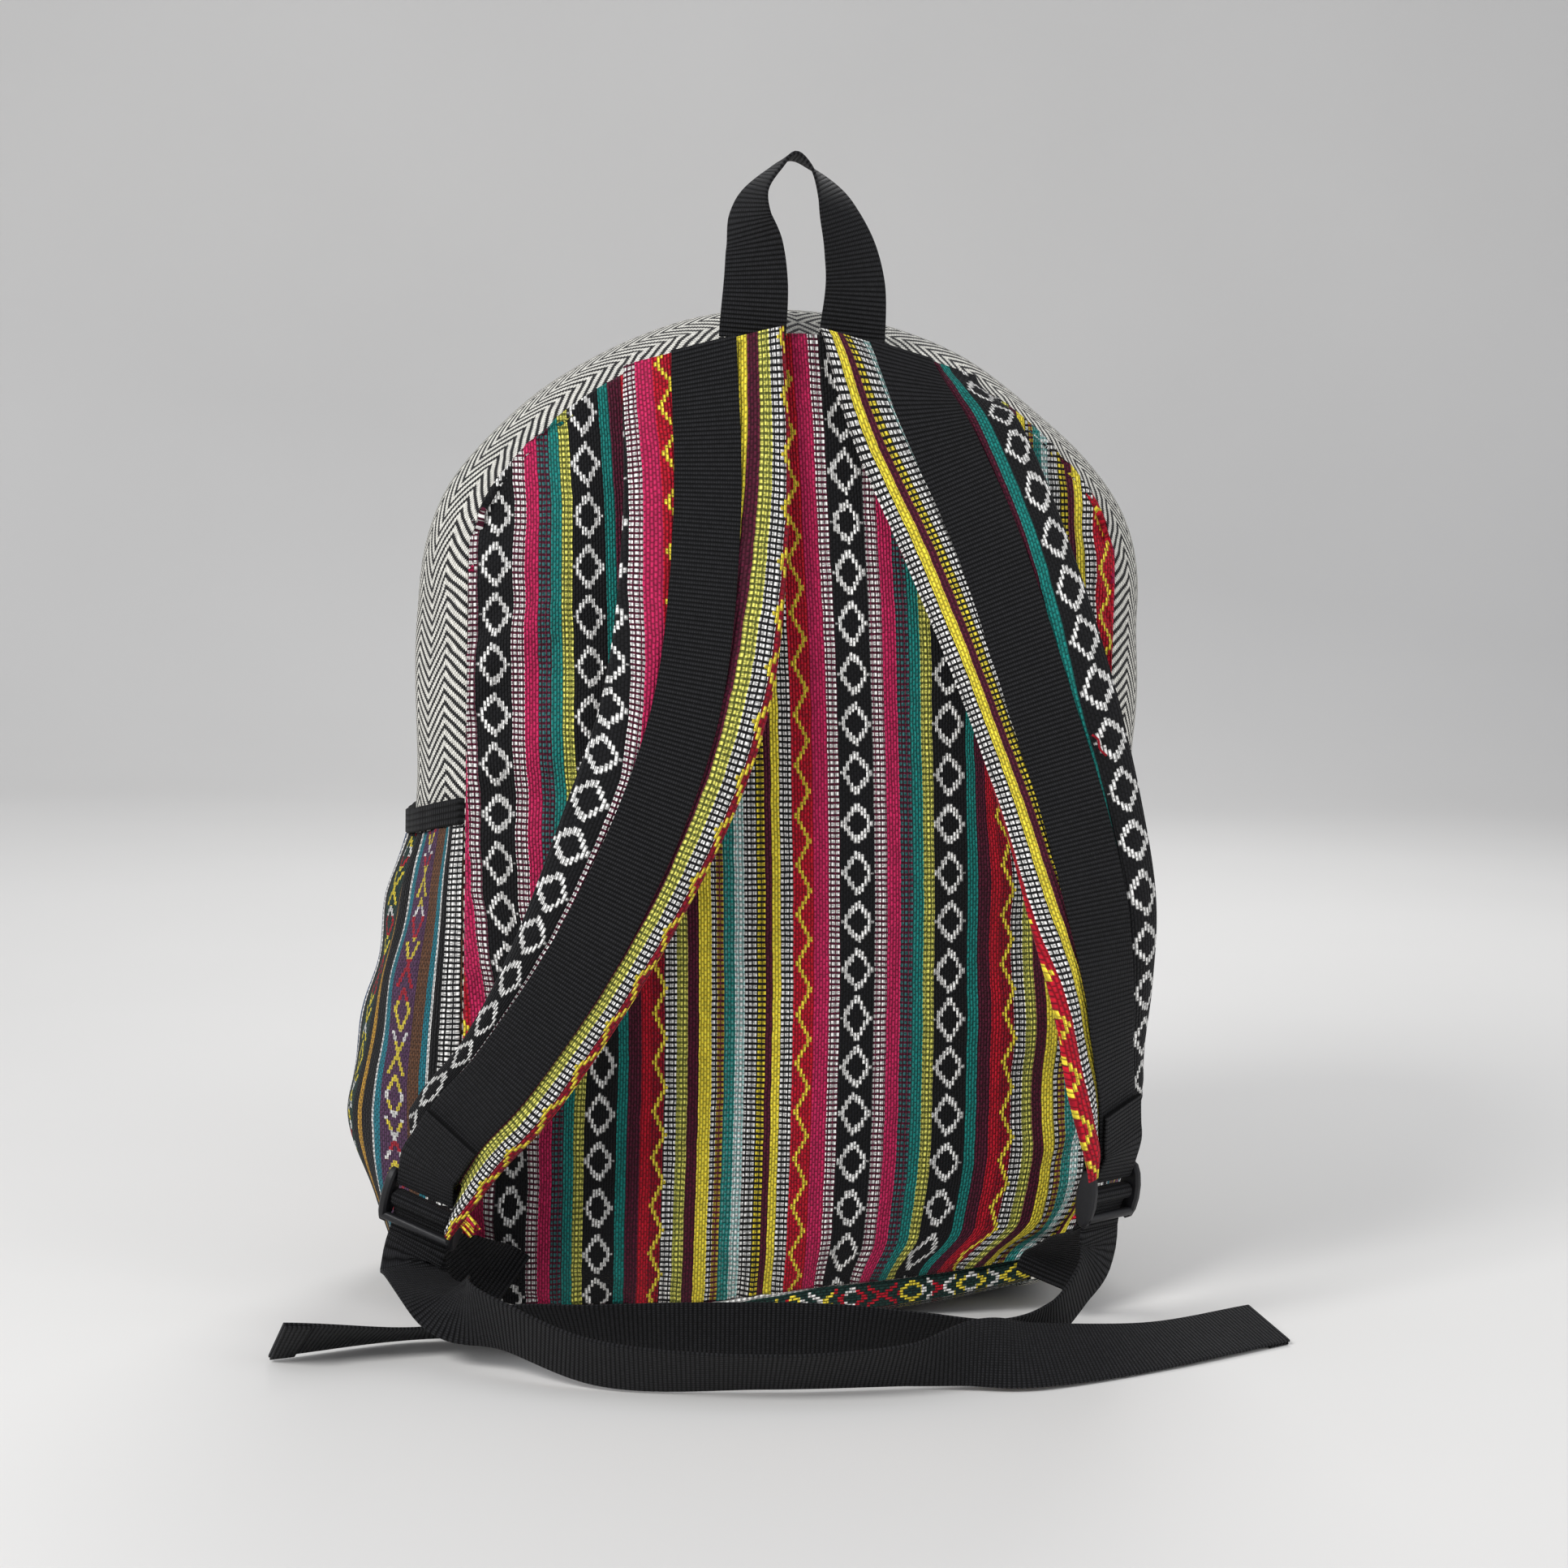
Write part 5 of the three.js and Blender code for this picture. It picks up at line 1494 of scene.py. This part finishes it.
bm = cloth(len(FRONT_COLUMNS) - 1, len(FRONT_ROWS) - 1, front_place, front_threads, (0, 1, 0))
slot_faces = [
    face for face in bm.faces
    if abs(face.calc_center_median().x) < FRONT_ZIP_HALF
    and abs(face.calc_center_median().z - FRONT_ZIP_Z) < SLOT_HALF
]
bmesh.ops.delete(bm, geom=slot_faces, context="FACES")
front = piece("front_pouch", bm, striped_finish, ["front_pocket"])
thicken(front, 0.0022)

# %% [markdown]
# A zip needs three finishes. Its tape is a fine, tight weave, so the grain of the cloth is used
# again with smaller threads. The nylon coil and the dark metal are plain and only a little worn.

# %% Zip finishes
def nylon_tape():
    finish = Finish("zip tape", Sheen_Weight=0.1)
    height, tone = use(GRAIN, finish.tree, finish.across, finish.along, 0.0007, 0.0012, 0.5)
    # thread tops painted lighter as a highlight and the gaps between them darker as shade, with a
    # random tone for each grain
    painted_highlight_and_tone = height * 0.6 + tone * 0.3
    finish.set("Base Color", mixed(painted_highlight_and_tone, (0.004, 0.004, 0.005, 1), (0.022, 0.022, 0.025, 1)))
    finish.set("Roughness", 0.75 - height * 0.2)
    finish.bump(height, 0.0002)
    return finish.material


def nylon_coil():
    finish = Finish("zip coil")
    worn = finish.cloud(300.0)
    finish.set("Base Color", mixed(worn, (0.006, 0.006, 0.007, 1), (0.022, 0.022, 0.024, 1)))
    finish.set("Roughness", worn * 0.25 + 0.30)
    return finish.material


def zip_steel():
    finish = Finish("zip metal", Metallic=1.0)
    worn = finish.cloud(220.0, 4.0)
    brushed = finish.cloud(900.0, 2.0)
    bare = worn.ramp(0.35, 0.75)
    finish.set("Base Color", mixed(bare, (0.035, 0.034, 0.033, 1), (0.16, 0.15, 0.14, 1)))
    finish.set("Roughness", worn * 0.25 + 0.24)
    finish.bump(brushed, 0.00005)
    return finish.material


tape_finish, coil_finish, steel_finish = nylon_tape(), nylon_coil(), zip_steel()

# %% [markdown]
# A zip is two tapes and a chain, all sleeves along one line: round the arch for the main zip and
# straight for the front pocket. The chain is a coil, so its rings are thick and thin in turn, and a
# groove runs down its middle.

# %% Zip tapes and chains
TAPE_INNER, TAPE_OUTER, TAPE_RECESS, TAPE_THICKNESS = 0.0023, 0.0095, 0.0004, 0.0009
CHAIN_HALF, CHAIN_HEIGHT, THIN_RING = 0.0019, 0.0011, 0.72
ZIP_RISE, ZIP_SAG = SIDE_BULGE * bulge(ZIP_Y), (SIDE_BULGE - TOP_BULGE) * bulge(ZIP_Y)
ZIP_START, ZIP_END = SPRING_RUN + ZIP_END_GAP, SEAM_LENGTH - SPRING_RUN - ZIP_END_GAP
FRONT_ZIP_END = FRONT_ZIP_HALF - 0.0004


def main_zip(distance, across, out):
    """A place on the main zip: the tape's inner edge is level, its outer edge meets the gusset."""
    x, z, out_x, out_z = seam(distance)
    rise = ZIP_RISE - TAPE_RECESS + out
    level = Vector((x + out_x * rise, ZIP_Y + across, z + out_z * rise - ZIP_SAG))
    share = smooth(abs(across), TAPE_INNER, TAPE_OUTER)
    return level.lerp(gusset(distance, ZIP_Y + across, out - TAPE_RECESS), share)


def front_zip(distance, across, out):
    return Vector((distance, FRONT_Y - TAPE_RECESS + out, FRONT_ZIP_Z + across))


TAPE_SECTION = [
    (1, 0), (0.97, 1), (0.5, 1), (0, 1), (-0.5, 1), (-0.97, 1), (-1, 0), (-0.97, -1), (0, -1),
    (0.97, -1),
]
COIL_SECTION = [
    (1, 0), (0.9, 0.8), (0.5, 1), (0.15, 0.55), (-0.15, 0.55), (-0.5, 1), (-0.9, 0.8), (-1, 0),
    (-0.7, -1), (0.7, -1),
]


def zip_tape(name, line, side, distances, node):
    middle, half = side * (TAPE_INNER + TAPE_OUTER) / 2, (TAPE_OUTER - TAPE_INNER) / 2

    def place(share, distance):
        return line(distance, middle + share[0] * half, (share[1] - 1) * TAPE_THICKNESS / 2)

    piece(name, sleeve(TAPE_SECTION, distances, place, lambda share, d: (share[0] * half, d)),
          tape_finish, [node])


def zip_coil(name, line, distances, node):
    thick = {distance: 1.0 if i % 2 else THIN_RING for i, distance in enumerate(distances)}

    def place(share, distance):
        half = CHAIN_HALF * (0.85 + 0.15 * thick[distance])
        return line(distance, share[0] * half, share[1] * CHAIN_HEIGHT * thick[distance])

    piece(name, sleeve(COIL_SECTION, distances, place, lambda share, d: (share[0] * CHAIN_HALF, d)),
          coil_finish, [node], sharp=40)


for name, node, line, ends, tapes, steps, rings in (
    ("arch", "main_zip", main_zip, (ZIP_START, ZIP_END), {"rear": -1, "front": 1}, 120, 600),
    ("front", "front_zip", front_zip, (-FRONT_ZIP_END, FRONT_ZIP_END), {"upper": 1, "lower": -1},
     40, 260),
):
    for tape, side in tapes.items():
        zip_tape(f"{name}_tape_{tape}", line, side, spread(*ends, steps), f"{node}_tape_{tape}")
    zip_coil(f"{name}_coil", line, spread(*ends, rings), f"{node}_chain")

# %% [markdown]
# ## Sliders, pulls and buckles
# These are rigid, and their CAD shapes are right. Only their edges are too sharp: cast and moulded
# parts have small rounds. Each is copied, its loose triangles are merged, flat faces are joined and
# the sharp edges are bevelled.

# %% Rigid parts
CAST_ROUND, MOULDED_ROUND = (0.0002, 2), (0.0006, 3)  # radius and steps


def buckle_plastic():
    finish = Finish("buckle plastic", Specular_IOR_Level=0.35)
    fine, broad = finish.cloud(1400.0, 1.0), finish.cloud(60.0, 3.0)
    finish.set("Base Color", mixed(broad, (0.006, 0.006, 0.007, 1), (0.016, 0.016, 0.018, 1)))
    finish.set("Roughness", broad * 0.18 + 0.38)
    finish.bump(fine, 0.00006)
    return finish.material


def rounded_copy(node, name, finish, slot, body, offset, segments):
    bm = bmesh.new()
    bm.from_mesh(bpy.data.objects[node].data)
    bmesh.ops.remove_doubles(bm, verts=bm.verts, dist=MERGE)
    bmesh.ops.dissolve_limit(bm, angle_limit=math.radians(1), verts=bm.verts, edges=bm.edges)
    sharp = [e for e in bm.edges if e.is_manifold and e.calc_face_angle() > math.radians(40)]
    bmesh.ops.bevel(bm, geom=sharp, offset=offset, offset_type="OFFSET", affect="EDGES",
                    segments=segments, profile=0.5, material=-1, clamp_overlap=True)
    piece(name, bm, finish, [node], body=body, sharp=35)


plastic_finish = buckle_plastic()
for zip_name in ("main_left", "main_right", "front"):
    for part in ("slider", "pull"):
        node = f"{zip_name}_{part}"
        rounded_copy(node, f"{node}_cast", steel_finish, "zip_metal", node, *CAST_ROUND)
for name in SIDES:
    rounded_copy(f"{name}_ladder_buckle", f"{name}_ladder_moulded", plastic_finish,
                 "buckle_plastic", f"{name}_buckle", *MOULDED_ROUND)

# %% [markdown]
# ## Floor and light
# A pale floor that bends up into the backdrop, one broad soft lamp from the upper left, weaker ones
# from the right and from behind, and an even sky keep the colours as they are written.

# %% Floor, lamps and sky
FLOOR_WIDTH, FLOOR_DEPTH, FLOOR_FAR, FLOOR_Z = 8, 5, 2.0, -0.0002
BEND_R, BEND_STEPS, BACKDROP_RISE = 0.8, 12, 3
# name, place, target, size in metres and power in watts
LAMPS = [
    ("key", (-1.5, -1.5, 1.7), (0, 0, 0.22), 0.9, 43),
    ("fill", (1.7, -1.2, 1.0), (0, 0, 0.2), 1.4, 12),
    ("back", (0.4, 1.5, 1.6), (0, 0, 0.25), 1.0, 14),
]
SKY_COLOUR, SKY_STRENGTH = (0.92, 0.94, 1.0, 1), 0.45


def pale_floor():
    finish = Finish("pale floor", Roughness=0.85)
    spots = finish.cloud(2.0)
    finish.set("Base Color", mixed(spots, (0.74, 0.73, 0.71, 1), (0.80, 0.79, 0.77, 1)))
    return finish.material


bm = bmesh.new()
bmesh.ops.create_grid(bm, x_segments=2, y_segments=1, size=0.5)
for vert in bm.verts:
    y = FLOOR_FAR + (vert.co.y - 0.5) * FLOOR_DEPTH
    vert.co = Vector((vert.co.x * FLOOR_WIDTH, y, FLOOR_Z))
far = [edge for edge in bm.edges if all(v.co.y > FLOOR_FAR - 0.1 for v in edge.verts)]
for step in range(1, BEND_STEPS + 1):
    grown = bmesh.ops.extrude_edge_only(bm, edges=far)["geom"]
    angle = math.pi / 2 * step / BEND_STEPS
    far = [item for item in grown if isinstance(item, bmesh.types.BMEdge)]
    for vert in {v for edge in far for v in edge.verts}:
        vert.co.y = FLOOR_FAR + BEND_R * math.sin(angle)
        vert.co.z = BEND_R * (1 - math.cos(angle))
grown = bmesh.ops.extrude_edge_only(bm, edges=far)["geom"]
top = [item for item in grown if isinstance(item, bmesh.types.BMVert)]
bmesh.ops.translate(bm, vec=(0, 0, BACKDROP_RISE), verts=top)
bmesh.ops.recalc_face_normals(bm, faces=bm.faces)
floor_mesh = bpy.data.meshes.new("floor")
bm.to_mesh(floor_mesh)
bm.free()
floor_mesh.materials.append(pale_floor())
floor_mesh.shade_smooth()
floor = bpy.data.objects.new("floor", floor_mesh)
scene.collection.objects.link(floor)

for name, place, target, size, power in LAMPS:
    data = bpy.data.lights.new(name, "AREA")
    data.shape, data.size, data.energy = "DISK", size, power
    obj = bpy.data.objects.new(name, data)
    obj.location = place
    obj.rotation_euler = (Vector(target) - Vector(place)).to_track_quat("-Z", "Y").to_euler()
    scene.collection.objects.link(obj)

sky = bpy.data.worlds.new("sky")
sky.use_nodes = True
background = sky.node_tree.nodes["Background"]
background.inputs[0].default_value, background.inputs[1].default_value = SKY_COLOUR, SKY_STRENGTH
scene.world = sky
